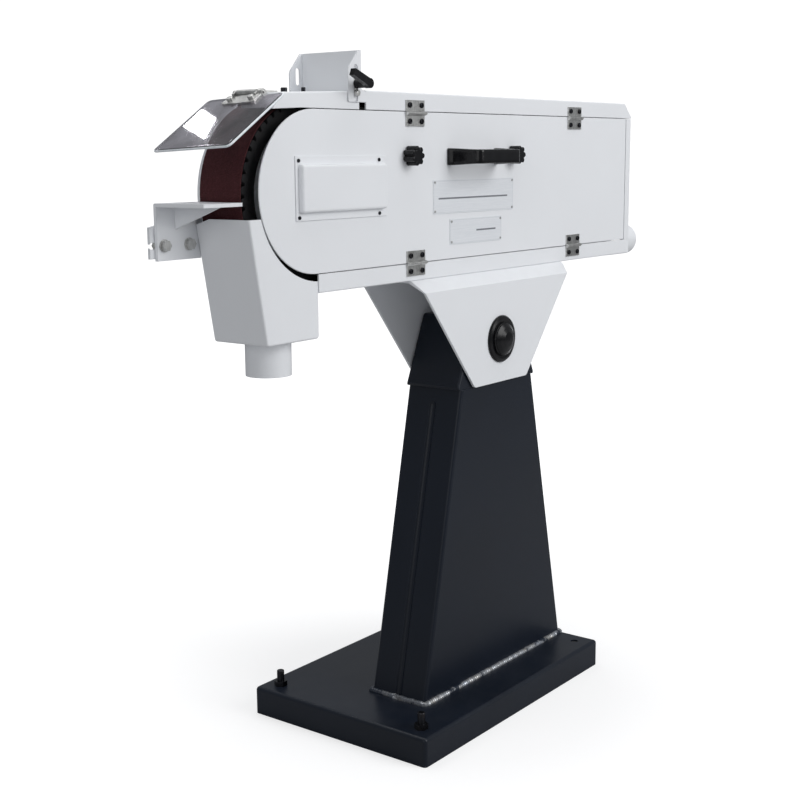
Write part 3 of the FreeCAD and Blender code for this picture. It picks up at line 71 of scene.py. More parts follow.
class FinishSettings(bpy.types.PropertyGroup):
    """Colours and surface sizes of the paints, metals and plastics."""

    white: bpy.props.FloatVectorProperty(
        name="White paint", description="Powder coat of the head", subtype="COLOR",
        default=(0.83, 0.845, 0.87), min=0.0, max=1.0)
    dark: bpy.props.FloatVectorProperty(
        name="Dark paint", description="Powder coat of the column and base", subtype="COLOR",
        default=(0.005, 0.0085, 0.0165), min=0.0, max=1.0)
    belt: bpy.props.FloatVectorProperty(
        name="Belt", description="Colour of the abrasive grain", subtype="COLOR",
        default=(0.052, 0.0105, 0.0125), min=0.0, max=1.0)
    band: bpy.props.FloatVectorProperty(
        name="Plate band", description="Printed band on the blank nameplates", subtype="COLOR",
        default=(0.2, 0.21, 0.23), min=0.0, max=1.0)
    edge_radius: bpy.props.FloatProperty(
        name="Edge radius", description="How far paint rounds a sheet's edges", unit="LENGTH",
        default=1.1 * MM, min=0.0)
    peel_size: bpy.props.FloatProperty(
        name="Peel size", description="Width of one dimple in the powder coat", unit="LENGTH",
        default=1.8 * MM, min=0.1 * MM)


class WeldSettings(bpy.types.PropertyGroup):
    """Sizes of the weld bead at the column's foot."""

    radius: bpy.props.FloatProperty(
        name="Bead radius", description="Half the width of the bead", unit="LENGTH", default=5.6 * MM)
    pitch: bpy.props.FloatProperty(
        name="Ripple pitch", description="Distance from one ripple to the next", unit="LENGTH",
        default=5.2 * MM, min=1.0 * MM)
    depth: bpy.props.FloatProperty(
        name="Ripple depth", description="Height of a ripple as a share of the radius", default=0.12)


class BeltSettings(bpy.types.PropertyGroup):
    """Sizes of the abrasive belt and of the wheel's tread."""

    thick: bpy.props.FloatProperty(
        name="Thickness", description="Thickness of the belt", unit="LENGTH", default=1.5 * MM)
    splice: bpy.props.FloatProperty(
        name="Splice width", description="Width of the slanting joint in the belt", unit="LENGTH",
        default=14.0 * MM)
    splice_rise: bpy.props.FloatProperty(
        name="Splice rise", description="How far the joint stands up", unit="LENGTH", default=0.25 * MM)
    notches: bpy.props.IntProperty(
        name="Notches", description="Number of slanting notches round the tread", default=48, min=8)
    notch_depth: bpy.props.FloatProperty(
        name="Notch depth", description="Depth of a notch", unit="LENGTH", default=6.0 * MM)
    notch_width: bpy.props.FloatProperty(
        name="Notch width", description="Width of a notch along the tread", unit="LENGTH", default=5.4 * MM)
    notch_slant: bpy.props.FloatProperty(
        name="Notch slant", description="Angle of a notch across the tread", subtype="ANGLE",
        default=math.radians(24.0))


class ShieldSettings(bpy.types.PropertyGroup):
    """Sizes of the clear eye shield, measured from its hinge pin down the slope."""

    slope: bpy.props.FloatProperty(
        name="Slope", description="Angle below level at rest", subtype="ANGLE", default=math.radians(32.4))
    roll: bpy.props.FloatProperty(
        name="Roll", description="How far the sheet hangs out of level", subtype="ANGLE",
        default=math.radians(2.7))
    drop: bpy.props.FloatProperty(
        name="Drop", description="Distance of the sheet below the pin", unit="LENGTH", default=3.7 * MM)
    start: bpy.props.FloatProperty(
        name="Start", description="Distance from the pin to the upper edge", unit="LENGTH",
        default=4.8 * MM)
    length: bpy.props.FloatProperty(
        name="Length", description="Length down the slope", unit="LENGTH", default=128.0 * MM)
    width: bpy.props.FloatProperty(
        name="Width", description="Width across", unit="LENGTH", default=144.0 * MM)
    thick: bpy.props.FloatProperty(
        name="Thickness", description="Thickness of the sheet", unit="LENGTH", default=3.0 * MM)
    corner: bpy.props.FloatProperty(
        name="Corner", description="Radius of the corners", unit="LENGTH", default=8.0 * MM)


class HandleSettings(bpy.types.PropertyGroup):
    """Sizes of the moulded bridge handle on the door."""

    thick: bpy.props.FloatProperty(
        name="Bar thickness", description="Thickness of the bar, seen from above", unit="LENGTH",
        default=9.0 * MM)
    rake: bpy.props.FloatProperty(
        name="Rake", description="How far each leg leans in", unit="LENGTH", default=16.0 * MM)
    bend: bpy.props.FloatProperty(
        name="Bend", description="Radius where a leg turns into the bar", unit="LENGTH",
        default=5.0 * MM)
    bar_share: bpy.props.FloatProperty(
        name="Bar share", description="Height of the bar as a share of the height at the door",
        default=0.84)


class StageSettings(bpy.types.PropertyGroup):
    """Camera, lights and floor."""

    place: bpy.props.FloatVectorProperty(
        name="Camera place", description="Where the camera stands", subtype="TRANSLATION",
        default=(-1.7827, -1.2946, 0.9115))
    azimuth: bpy.props.FloatProperty(
        name="Azimuth", description="Heading of the camera from +Y", subtype="ANGLE",
        default=math.radians(-52.6))
    pitch: bpy.props.FloatProperty(
        name="Pitch", description="How far the camera looks down", subtype="ANGLE",
        default=math.radians(10.39))
    roll: bpy.props.FloatProperty(
        name="Roll", description="Turn of the camera about its own line of sight", subtype="ANGLE",
        default=math.radians(-0.47))
    lens: bpy.props.FloatProperty(
        name="Lens", description="Focal length in millimetres", default=60.33)
    key: bpy.props.FloatProperty(
        name="Key light", description="Power of the light on the door's side", unit="POWER", default=86.0)
    fill: bpy.props.FloatProperty(
        name="Fill light", description="Power of the light in front", unit="POWER", default=14.0)
    top: bpy.props.FloatProperty(
        name="Top light", description="Power of the light overhead", unit="POWER", default=50.0)
    glint: bpy.props.FloatProperty(
        name="Glint light", description="Power of the small lamp mirrored in the shield", unit="POWER",
        default=0.35)
    glint_place: bpy.props.FloatVectorProperty(
        name="Glint place", description="Where on the shield the small lamp is mirrored",
        subtype="TRANSLATION", default=(-0.509, 0.0085, 0.9566))
    glint_reach: bpy.props.FloatProperty(
        name="Glint reach", description="Distance from the shield to the small lamp", unit="LENGTH",
        default=2.2)


# ---------------------------------------------------------------- node trees


class Tree:
    """A node tree with short calls that add nodes and join sockets."""

    def __init__(self, tree):
        self.tree = tree

    def put(self, node, key, value):
        """Set a node's input, or link it when the value is another node's output."""
        if isinstance(value, bpy.types.NodeSocket):
            self.tree.links.new(value, node.inputs[key])
        else:
            node.inputs[key].default_value = value

    def add(self, kind, inputs=None, **settings):
        """Add a node, set its own settings, then its inputs."""
        node = self.tree.nodes.new(kind)
        for name, value in settings.items():
            setattr(node, name, value)
        for key, value in (inputs or {}).items():
            self.put(node, key, value)
        return node

    def sum(self, operation, first, second=0.0, clamp=False):
        """One step of arithmetic on two values."""
        return self.add("ShaderNodeMath", {0: first, 1: second}, operation=operation,
                        use_clamp=clamp).outputs[0]

    def noise(self, place, scale, detail=2.0):
        """Soft noise from 0 to 1."""
        noise = self.add("ShaderNodeTexNoise", {"Vector": place, "Scale": scale, "Detail": detail})
        return noise.outputs["Fac"]

    def spread(self, value, low, high, to_low=0.0, to_high=1.0):
        """Carry a value from one range to another, held at both ends."""
        return self.add("ShaderNodeMapRange", {"Value": value, "From Min": low, "From Max": high,
                                               "To Min": to_low, "To Max": to_high}).outputs["Result"]

    def mix(self, mask, first, second):
        """First colour where the mask is 0, second where it is 1."""
        return self.add("ShaderNodeMix", {0: mask, 6: first, 7: second}, data_type="RGBA").outputs[2]

    def stretch(self, place, scale, centre=(0.0, 0.0, 0.0)):
        """Coordinates measured from a centre and stretched along each axis."""
        moved = self.add("ShaderNodeVectorMath", {0: place, 1: centre}, operation="SUBTRACT").outputs[0]
        return self.add("ShaderNodeVectorMath", {0: moved, 1: scale}, operation="MULTIPLY").outputs[0]

    def placed(self, tree, inputs):
        """Place a shared node group and return its outputs."""
        node = self.tree.nodes.new("ShaderNodeGroup")
        node.node_tree = tree
        for key, value in inputs.items():
            self.put(node, key, value)
        return node.outputs


class Finish(Tree):
    """A material with its Principled shader and the object's own coordinates."""

    def __init__(self, name):
        self.material = bpy.data.materials.new(name)
        self.material.use_nodes = True
        super().__init__(self.material.node_tree)
        self.shader = self.tree.nodes["Principled BSDF"]
        self.place = self.add("ShaderNodeTexCoord").outputs["Object"]

    def set(self, **values):
        """Set sockets of the shader by name, with _ for a space."""
        for name, value in values.items():
            self.put(self.shader, name.replace("_", " "), value)
        return self.material

    def bump(self, height, distance, normal=None):
        """Bump from a height between 0 and 1, as deep as distance in metres."""
        node = self.add("ShaderNodeBump", {"Height": height, "Distance": distance, "Strength": 1.0})
        if normal is not None:
            self.put(node, "Normal", normal)
        return node.outputs[0]


def new_group(name, inputs, outputs):
    """A shader node group with named float or vector sockets; returns the tree with its two ends."""
    tree = bpy.data.node_groups.new(name, "ShaderNodeTree")
    for label, kind, value in inputs:
        socket = tree.interface.new_socket(label, in_out="INPUT", socket_type=kind)
        if value is not None:
            socket.default_value = value
    for label, kind in outputs:
        tree.interface.new_socket(label, in_out="OUTPUT", socket_type=kind)
    work = Tree(tree)
    return work, work.add("NodeGroupInput").outputs, work.add("NodeGroupOutput")


def shared_group(name, build):
    """Build a node group the first time it is asked for."""
    found = bpy.data.node_groups.get(name)
    return found if found else build(name)


def edge_wear():
    """Rounded normals along edges, and a mask that is 1 where an edge is rubbed."""

    def build(name):
        work, given, out = new_group(
            name, [("Vector", "NodeSocketVector", None), ("Radius", "NodeSocketFloat", 1.0 * MM),
                   ("Amount", "NodeSocketFloat", 0.5)],
            [("Mask", "NodeSocketFloat"), ("Normal", "NodeSocketVector")])
        bevel = work.add("ShaderNodeBevel", {"Radius": given["Radius"]}, samples=4).outputs[0]
        flat = work.add("ShaderNodeNewGeometry").outputs["Normal"]
        along = work.add("ShaderNodeVectorMath", {0: bevel, 1: flat},
                         operation="DOT_PRODUCT").outputs["Value"]
        edge = work.spread(work.sum("SUBTRACT", 1.0, along), 0.02, 0.2)
        patches = work.spread(work.noise(given["Vector"], 90.0, 4.0), 0.35, 0.7)
        mask = work.sum("MULTIPLY", work.sum("MULTIPLY", edge, patches), given["Amount"], True)
        work.put(out, "Mask", mask)
        work.put(out, "Normal", bevel)
        return work.tree

    return shared_group("edge_wear", build)


def worn_edge(look, settings, share, amount):
    """Rounded, rubbed edges, with a share of the paint's edge radius; on the dark coat the edge mark is also a
    painted highlight.
    """
    return look.placed(edge_wear(), {"Vector": look.place, "Radius": share * settings.edge_radius,
                                     "Amount": amount})


def powder_grain():
    """Dimpled height of a powder coat, and a slow drift of its tone."""

    def build(name):
        work, given, out = new_group(
            name, [("Vector", "NodeSocketVector", None), ("Size", "NodeSocketFloat", 1.8 * MM)],
            [("Height", "NodeSocketFloat"), ("Tone", "NodeSocketFloat")])
        scale = work.sum("DIVIDE", 1.0, given["Size"])
        peel = work.noise(given["Vector"], scale, 1.5)
        fine = work.noise(given["Vector"], work.sum("MULTIPLY", scale, 4.3), 1.0)
        height = work.sum("ADD", work.sum("MULTIPLY", peel, 0.75), work.sum("MULTIPLY", fine, 0.25))
        slow = work.noise(given["Vector"], 5.0, 3.0)
        work.put(out, "Height", height)
        work.put(out, "Tone", work.spread(slow, 0.3, 0.7))
        return work.tree

    return shared_group("powder_grain", build)


def settled_dust():
    """Mask of grinding dust, which lies on what faces up."""

    def build(name):
        work, given, out = new_group(
            name, [("Vector", "NodeSocketVector", None), ("Amount", "NodeSocketFloat", 0.3)],
            [("Mask", "NodeSocketFloat")])
        normal = work.add("ShaderNodeNewGeometry").outputs["Normal"]
        up = work.add("ShaderNodeSeparateXYZ", {0: normal}).outputs["Z"]
        cloud = work.spread(work.noise(given["Vector"], 38.0, 6.0), 0.42, 0.68)
        speck = work.spread(work.noise(given["Vector"], 900.0, 2.0), 0.5, 0.75)
        lying = work.sum("MULTIPLY", work.spread(up, 0.4, 0.95), work.sum("ADD", cloud, speck, True))
        work.put(out, "Mask", work.sum("MULTIPLY", lying, given["Amount"], True))
        return work.tree

    return shared_group("settled_dust", build)


def fine_lines():
    """Streaks of a brushed, ground or turned surface, from coordinates already stretched along them."""

    def build(name):
        work, given, out = new_group(
            name, [("Vector", "NodeSocketVector", None)],
            [("Height", "NodeSocketFloat"), ("Mask", "NodeSocketFloat")])
        streaks = work.noise(given["Vector"], 1.0, 5.0)
        deep = work.noise(given["Vector"], 0.31, 2.0)
        work.put(out, "Height", streaks)
        work.put(out, "Mask", work.spread(work.sum("MULTIPLY", streaks, deep), 0.12, 0.38))
        return work.tree

    return shared_group("fine_lines", build)


# ---------------------------------------------------------------- finishes


def shade(colour, share):
    """A colour made darker or lighter, with its alpha."""
    return tuple(min(1.0, channel * share) for channel in colour[:3]) + (1.0,)


def painted_metal(name, colour, roughness, bare, wear_and_sheen, dust, depth, settings, drift=0.03, gloss=0.5):
    """Powder coat: dimpled, a little uneven in tone, rubbed at the edges and dusty on top; a light edge colour
    also paints a highlight along the edges.
    """
    look = Finish(name)
    edge = worn_edge(look, settings, 1.0, wear_and_sheen)
    grain = look.placed(powder_grain(), {"Vector": look.place, "Size": settings.peel_size})
    film = look.placed(settled_dust(), {"Vector": look.place, "Amount": dust})
    coat = look.mix(grain["Tone"], shade(colour, 1.0 - drift), shade(colour, 1.0 + drift))
    # Edge colour laid on by the edge mask: rubbed paint, and for the dark coat also a painted highlight along its
    # edges.
    rubbed = look.mix(edge["Mask"], coat, bare)
    dusty = look.mix(film["Mask"], rubbed, (0.33, 0.31, 0.3, 1.0))
    matt = look.spread(grain["Tone"], 0.0, 1.0, roughness - 0.04, roughness + 0.05)
    matt = look.sum("ADD", matt, look.sum("MULTIPLY", film["Mask"], 0.35), True)
    return look.set(Base_Color=dusty, Roughness=matt, Specular_IOR_Level=gloss,
                    Normal=look.bump(grain["Height"], depth, edge["Normal"]))


def bare_metal(name, colour, roughness, stretch, settings, depth=0.02 * MM, stain=(0.25, 0.24, 0.23),
               staining=0.35):
    """Brushed or ground metal: fine streaks in tone and gloss, a few stains, soft edges."""
    look = Finish(name)
    edge = worn_edge(look, settings, 0.5, 0.6)
    lines = look.placed(fine_lines(), {"Vector": look.stretch(look.place, stretch)})
    blot = look.spread(look.noise(look.place, 70.0, 5.0), 0.5, 0.75, 0.0, staining)
    metal = look.mix(lines["Mask"], shade(colour, 0.8), shade(colour, 1.12))
    stained = look.mix(blot, metal, shade(stain, 1.0))
    bright = look.mix(edge["Mask"], stained, shade(colour, 1.35))
    matt = look.spread(lines["Height"], 0.3, 0.7, roughness - 0.08, roughness + 0.1)
    return look.set(Base_Color=bright, Roughness=matt, Metallic=1.0,
                    Normal=look.bump(lines["Height"], depth, edge["Normal"]))


def turned_metal(name, colour, roughness, centre, settings):
    """Metal turned on a lathe about the Y axis: rings of tone and gloss round the centre."""
    look = Finish(name)
    edge = worn_edge(look, settings, 0.5, 0.5)
    axes = look.add("ShaderNodeSeparateXYZ", {0: look.stretch(look.place, (1.0, 1.0, 1.0), centre)}).outputs
    square = look.sum("ADD", look.sum("MULTIPLY", axes["X"], axes["X"]),
                      look.sum("MULTIPLY", axes["Z"], axes["Z"]))
    radius = look.sum("SQRT", square)
    rings = look.add("ShaderNodeCombineXYZ", {"X": radius, "Y": axes["Y"]}).outputs[0]
    lines = look.placed(fine_lines(), {"Vector": look.stretch(rings, (2600.0, 2600.0, 1.0))})
    metal = look.mix(lines["Mask"], shade(colour, 0.82), shade(colour, 1.1))
    bright = look.mix(edge["Mask"], metal, shade(colour, 1.3))
    matt = look.spread(lines["Height"], 0.3, 0.7, roughness - 0.07, roughness + 0.1)
    return look.set(Base_Color=bright, Roughness=matt, Metallic=0.55,
                    Normal=look.bump(lines["Height"], 0.02 * MM, edge["Normal"]))


def moulded_plastic(name, colour, roughness, depth, settings, dust=0.03, gloss=0.3):
    """Moulded plastic: fine spark texture, slightly polished edges, a little dust."""
    look = Finish(name)
    edge = worn_edge(look, settings, 0.7, 0.5)
    spark = look.noise(look.place, 2400.0, 2.0)
    cloud = look.spread(look.noise(look.place, 60.0, 4.0), 0.35, 0.7)
    film = look.placed(settled_dust(), {"Vector": look.place, "Amount": dust})
    body = look.mix(cloud, shade(colour, 0.9), shade(colour, 1.25))
    handled = look.mix(edge["Mask"], body, shade(colour, 2.2))
    dusty = look.mix(film["Mask"], handled, (0.3, 0.29, 0.28, 1.0))
    matt = look.spread(cloud, 0.0, 1.0, roughness - 0.05, roughness + 0.07)
    return look.set(Base_Color=dusty, Roughness=matt, Specular_IOR_Level=gloss,
                    Normal=look.bump(spark, depth, edge["Normal"]))


def abrasive_grain(name, colour):
    """Coated abrasive: sharp grains of differing tone standing in a dark bond, with painted glints on the lightest
    grains.
    """
    look = Finish(name)
    grains = look.add("ShaderNodeTexVoronoi", {"Vector": look.place, "Scale": 2300.0}, feature="F1").outputs
    coarse = look.add("ShaderNodeTexVoronoi", {"Vector": look.place, "Scale": 900.0}, feature="F1").outputs
    tone = look.add("ShaderNodeSeparateColor", {0: grains["Color"]}).outputs[0]
    patch = look.spread(look.noise(look.place, 24.0, 4.0), 0.3, 0.7)
    dark = look.mix(patch, shade(colour, 0.62), shade(colour, 0.95))
    grain = look.mix(look.spread(tone, 0.45, 1.0), dark, shade(colour, 1.8))
    # The lightest grains get a lighter colour: a painted glint on the grain tips.
    glint = look.spread(tone, 0.9, 1.0, 0.0, 0.5)
    grain_and_painted_glints = look.mix(glint, grain, (0.16, 0.08, 0.08, 1.0))
    height = look.sum("SUBTRACT", 1.0, look.sum("ADD", look.sum("MULTIPLY", grains["Distance"], 0.7),
                                                look.sum("MULTIPLY", coarse["Distance"], 0.5)))
    matt = look.spread(tone, 0.0, 1.0, 0.92, 0.6)
    return look.set(Base_Color=grain_and_painted_glints, Roughness=matt, Specular_IOR_Level=0.25,
                    Normal=look.bump(height, 0.12 * MM))


def tread_rubber(name, colour, settings):
    """Matt rubber, greyed by grinding dust that settles in blotches and on its edges."""
    look = Finish(name)
    edge = worn_edge(look, settings, 1.0, 0.7)
    blotch = look.spread(look.noise(look.place, 45.0, 6.0), 0.42, 0.72, 0.0, 0.5)
    skin = look.noise(look.place, 1300.0, 3.0)
    body = look.mix(skin, shade(colour, 0.75), shade(colour, 1.3))
    grey = look.mix(blotch, body, (0.022, 0.02, 0.021, 1.0))
    rubbed = look.mix(edge["Mask"], grey, (0.05, 0.046, 0.045, 1.0))
    matt = look.spread(skin, 0.3, 0.7, 0.62, 0.84)
    return look.set(Base_Color=rubbed, Roughness=matt, Specular_IOR_Level=0.25,
                    Normal=look.bump(skin, 0.06 * MM, edge["Normal"]))


def weld_metal(name, colour, paint):
    """Weld bead: bright ripples, straw and blue heat tints, and paint crept over it in places."""
    look = Finish(name)
    heat = look.spread(look.noise(look.place, 55.0, 3.0), 0.35, 0.68)
    tint = look.mix(heat, (0.5, 0.47, 0.42, 1.0), (0.36, 0.41, 0.5, 1.0))
    slag = look.spread(look.noise(look.place, 420.0, 5.0), 0.56, 0.7, 0.0, 0.7)
    metal = look.mix(look.spread(look.noise(look.place, 130.0, 3.0), 0.3, 0.7), tint, shade(colour, 1.0))
    spotted = look.mix(slag, metal, (0.1, 0.1, 0.105, 1.0))
    creep = look.sum("MAXIMUM", look.spread(look.noise(look.place, 34.0, 5.0), 0.52, 0.6),
                     front_side(look, "foot_weld"))
    covered = look.mix(creep, spotted, shade(paint, 1.6))
    matt = look.spread(slag, 0.0, 0.7, 0.28, 0.62)
    bare = look.sum("SUBTRACT", 0.85, look.sum("MULTIPLY", creep, 0.85))
    skin = look.noise(look.place, 700.0, 4.0)
    return look.set(Base_Color=covered, Roughness=matt, Metallic=bare, Normal=look.bump(skin, 0.12 * MM))


def front_side(look, node):
    """Mask that is patchily 1 along the front side of a node's box, and 0 elsewhere."""
    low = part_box(node)[0]
    along_x = look.add("ShaderNodeSeparateXYZ", {0: look.place}).outputs["X"]
    near_front = look.spread(along_x, low.x + 9.0 * MM, low.x + 15.0 * MM, 0.85, 0.0)
    gaps = look.spread(look.noise(look.place, 60.0, 3.0), 0.56, 0.62, 1.0, 0.3)
    return look.sum("MULTIPLY", near_front, gaps)


def clear_plastic(name):
    """Clear, slightly smoky sheet with faint wiping marks in its gloss."""
    look = Finish(name)
    wipe = look.noise(look.stretch(look.place, (30.0, 900.0, 300.0)), 1.0, 4.0)
    haze = look.noise(look.place, 18.0, 3.0)
    tint = look.mix(look.spread(haze, 0.4, 0.6), (0.5, 0.47, 0.51, 1.0), (0.74, 0.71, 0.77, 1.0))
    matt = look.spread(wipe, 0.4, 0.8, 0.0, 0.05)
    return look.set(Base_Color=tint, Roughness=matt, Transmission_Weight=1.0, IOR=1.49)


def polished_edge(name):
    """Sawn and flamed edge of the clear sheet, which gathers light."""
    look = Finish(name)
    saw = look.noise(look.stretch(look.place, (1400.0, 1400.0, 60.0)), 1.0, 3.0)
    tone = look.mix(look.spread(saw, 0.35, 0.65), (0.62, 0.66, 0.7, 1.0), (0.9, 0.93, 0.96, 1.0))
    return look.set(Base_Color=tone, Roughness=look.spread(saw, 0.3, 0.7, 0.15, 0.4),
                    Normal=look.bump(saw, 0.04 * MM))


def inside(look, value, low, high):
    """1 where a value lies between two limits."""
    return look.sum("MULTIPLY", look.sum("GREATER_THAN", value, low), look.sum("LESS_THAN", value, high))


def plate_print(name, band_colour, settings):
    """Blank anodised nameplates: brushed silver with a thin frame line and one plain band."""
    look = Finish(name)
    edge = worn_edge(look, settings, 0.3, 0.5)
    lines = look.placed(fine_lines(), {"Vector": look.stretch(look.place, (90.0, 400.0, 5200.0))})
    axes = look.add("ShaderNodeSeparateXYZ", {0: look.place}).outputs
    printed = 0.0
    frame_line = 0.0
    for node, left, right, height in (("nameplate_large", 0.06, 0.92, 0.45),
                                      ("nameplate_small", 0.5, 0.88, 0.5)):
        low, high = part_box(node)
        wide = high.x - low.x
        middle = low.z + height * (high.z - low.z)
        across = inside(look, axes["X"], low.x + left * wide, low.x + right * wide)
        band = look.sum("MULTIPLY", across, inside(look, axes["Z"], middle - 1.3 * MM, middle + 1.3 * MM))
        printed = look.sum("MAXIMUM", printed, band)
        outer = look.sum("MULTIPLY", inside(look, axes["X"], low.x + 1.6 * MM, high.x - 1.6 * MM),
                         inside(look, axes["Z"], low.z + 1.6 * MM, high.z - 1.6 * MM))
        inner = look.sum("MULTIPLY", inside(look, axes["X"], low.x + 2.1 * MM, high.x - 2.1 * MM),
                         inside(look, axes["Z"], low.z + 2.1 * MM, high.z - 2.1 * MM))
        frame_line = look.sum("MAXIMUM", frame_line, look.sum("SUBTRACT", outer, inner))
    metal = look.mix(lines["Mask"], (0.74, 0.765, 0.8, 1.0), (0.82, 0.84, 0.87, 1.0))
    framed = look.mix(look.sum("MULTIPLY", frame_line, 0.35), metal, (0.25, 0.27, 0.31, 1.0))
    inked = look.mix(printed, framed, shade(band_colour, 1.0))
    matt = look.spread(lines["Height"], 0.3, 0.7, 0.36, 0.48)
    return look.set(Base_Color=inked, Roughness=matt, Metallic=0.1,
                    Normal=look.bump(lines["Height"], 0.01 * MM, edge["Normal"]))


def all_finishes(settings):
    """Every material of the grinder, by the record's slot name."""
    steel = (0.6, 0.6, 0.585)
    wheel = joint_place("wheel_spin")
    return {
        "white_paint": painted_metal("white_powder_coat", settings.white, 0.34, (0.55, 0.56, 0.58, 1.0),
                                     0.25, 0.05, 0.05 * MM, settings, 0.012),
        # Dark coat: its light bluish edge colour at a high amount is a painted highlight along the edges, as well
        # as rubbed paint.
        "dark_paint": painted_metal("dark_powder_coat", settings.dark, 0.33, (0.06, 0.075, 0.11, 1.0),
                                    0.8, 0.012, 0.07 * MM, settings, 0.14, 0.3),
        "black_paint": painted_metal("black_paint", (0.006, 0.006, 0.007), 0.5, (0.1, 0.1, 0.1, 1.0),
                                     0.4, 0.05, 0.05 * MM, settings, 0.1, 0.25),
        "motor_paint": painted_metal("motor_grey_paint", (0.1, 0.12, 0.145), 0.45, (0.25, 0.26, 0.27, 1.0),
                                     0.4, 0.15, 0.12 * MM, settings, 0.06),
        "weld_steel": weld_metal("weld_bead", (0.62, 0.64, 0.67), settings.dark),
        "black_steel": bare_metal("black_oxide_steel", (0.03, 0.031, 0.036), 0.3, (900.0, 900.0, 900.0),
                                  settings, stain=(0.07, 0.06, 0.055)),
        "zinc_steel": bare_metal("zinc_plated_steel", steel, 0.33, (2400.0, 700.0, 260.0), settings),
        "platen_steel": bare_metal("ground_platen", (0.4, 0.41, 0.42), 0.3, (90.0, 2600.0, 900.0), settings),
        "aluminium": turned_metal("turned_aluminium", (0.8, 0.82, 0.84), 0.5, wheel, settings),
        "black_plastic": moulded_plastic("black_moulding", (0.0035, 0.0035, 0.0045), 0.2,
                                         0.015 * MM, settings),
        "green_plastic": moulded_plastic("green_button", (0.02, 0.3, 0.06), 0.25, 0.01 * MM, settings, 0.05),
        "red_plastic": moulded_plastic("red_button", (0.55, 0.015, 0.012), 0.25, 0.01 * MM, settings, 0.05),
        "abrasive": abrasive_grain("abrasive_belt_grain", settings.belt),
        "tread_rubber": tread_rubber("tread_rubber", (0.006, 0.0062, 0.0075), settings),
        "clear_sheet": clear_plastic("clear_sheet"),
        "plate_face": plate_print("blank_plate_print", settings.band, settings),
    }


# ---------------------------------------------------------------- shapes


def rounded_rectangle(half_a, half_b, radius, run_points, corner_points):
    """Closed outline: quarter circles about four corner centres, joined by evenly divided straight runs."""
    turn = np.linspace(0.0, math.pi / 2, corner_points)
    arcs = []
    for quarter, (side_a, side_b) in enumerate(((1, 1), (-1, 1), (-1, -1), (1, -1))):
        angle = turn + quarter * math.pi / 2
        centre = np.array([side_a * (half_a - radius), side_b * (half_b - radius)])
        arcs.append(centre + radius * np.stack([np.cos(angle), np.sin(angle)], axis=1))
    parts = []
    for arc, following in zip(arcs, arcs[1:] + arcs[:1]):
        parts.append(arc)
        parts.append(np.linspace(arc[-1], following[0], run_points + 2)[1:-1])
    return np.concatenate(parts)


def outline_normals(outline):
    """Outward unit normals of a closed outline that runs anticlockwise: each chord turned a quarter back."""
    chord = np.roll(outline, -1, axis=0) - np.roll(outline, 1, axis=0)
    normal = np.stack([chord[:, 1], -chord[:, 0]], axis=1)
    return normal / np.linalg.norm(normal, axis=1, keepdims=True)


def step_up(value, low, high):
    """0 below low, 1 above high, and 3t^2 - 2t^3 between them."""
    t = np.clip((value - low) / (high - low), 0.0, 1.0)
    return t * t * (3.0 - 2.0 * t)


def make_piece(name, points, join_rows):
    """Mesh of a grid of points whose columns close on themselves.

    Each cell of the grid is one face. Rows close too when join_rows is true; otherwise the first and
    last rows are shut by fans to their middles. The faces are turned outwards by the sign of the volume.
    """
    rows, columns = points.shape[:2]
    index = np.arange(rows * columns).reshape(rows, columns)
    ahead = np.roll(index, -1, axis=0) if join_rows else index[1:]
    here = index if join_rows else index[:-1]
    quads = np.stack([here, ahead, np.roll(ahead, -1, axis=1), np.roll(here, -1, axis=1)], axis=-1)
    quads = quads.reshape(-1, 4)
    vertices = points.reshape(-1, 3)
    fans = np.zeros((0, 3), int)
    if not join_rows:
        middles = np.stack([points[0].mean(axis=0), points[-1].mean(axis=0)])
        vertices = np.concatenate([vertices, middles])
        first = np.full(columns, rows * columns)
        fans = np.concatenate([
            np.stack([index[0], np.roll(index[0], -1), first], axis=-1),
            np.stack([np.roll(index[-1], -1), index[-1], first + 1], axis=-1)])
    triangles = np.concatenate([quads[:, [0, 1, 2]], quads[:, [0, 2, 3]], fans])
    corner = vertices[triangles] - vertices.mean(axis=0)
    volume = np.einsum("ij,ij->", corner[:, 0], np.cross(corner[:, 1], corner[:, 2]))
    if volume < 0.0:
        quads = quads[:, ::-1]
        fans = fans[:, ::-1]
    mesh = bpy.data.meshes.new(name)
    mesh.from_pydata(vertices.tolist(), [], quads.tolist() + fans.tolist())
    mesh.polygons.foreach_set("use_smooth", np.ones(len(mesh.polygons), bool))
    mesh.update()
    piece = bpy.data.objects.new(name, mesh)
    bpy.context.scene.collection.objects.link(piece)
    return piece


def finish_piece(piece, slot, body, *nodes):
    """Give a piece its finish, its body, and the CAD nodes that it stands for."""
    piece.data.materials.append(bpy.data.materials[slot_finish(slot)])
    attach(piece, body)
    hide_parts(*nodes)
    return piece


def slot_finish(slot):
    """Name of the material that was made for a slot of the record."""
    return bpy.context.scene["finish_of_" + slot]


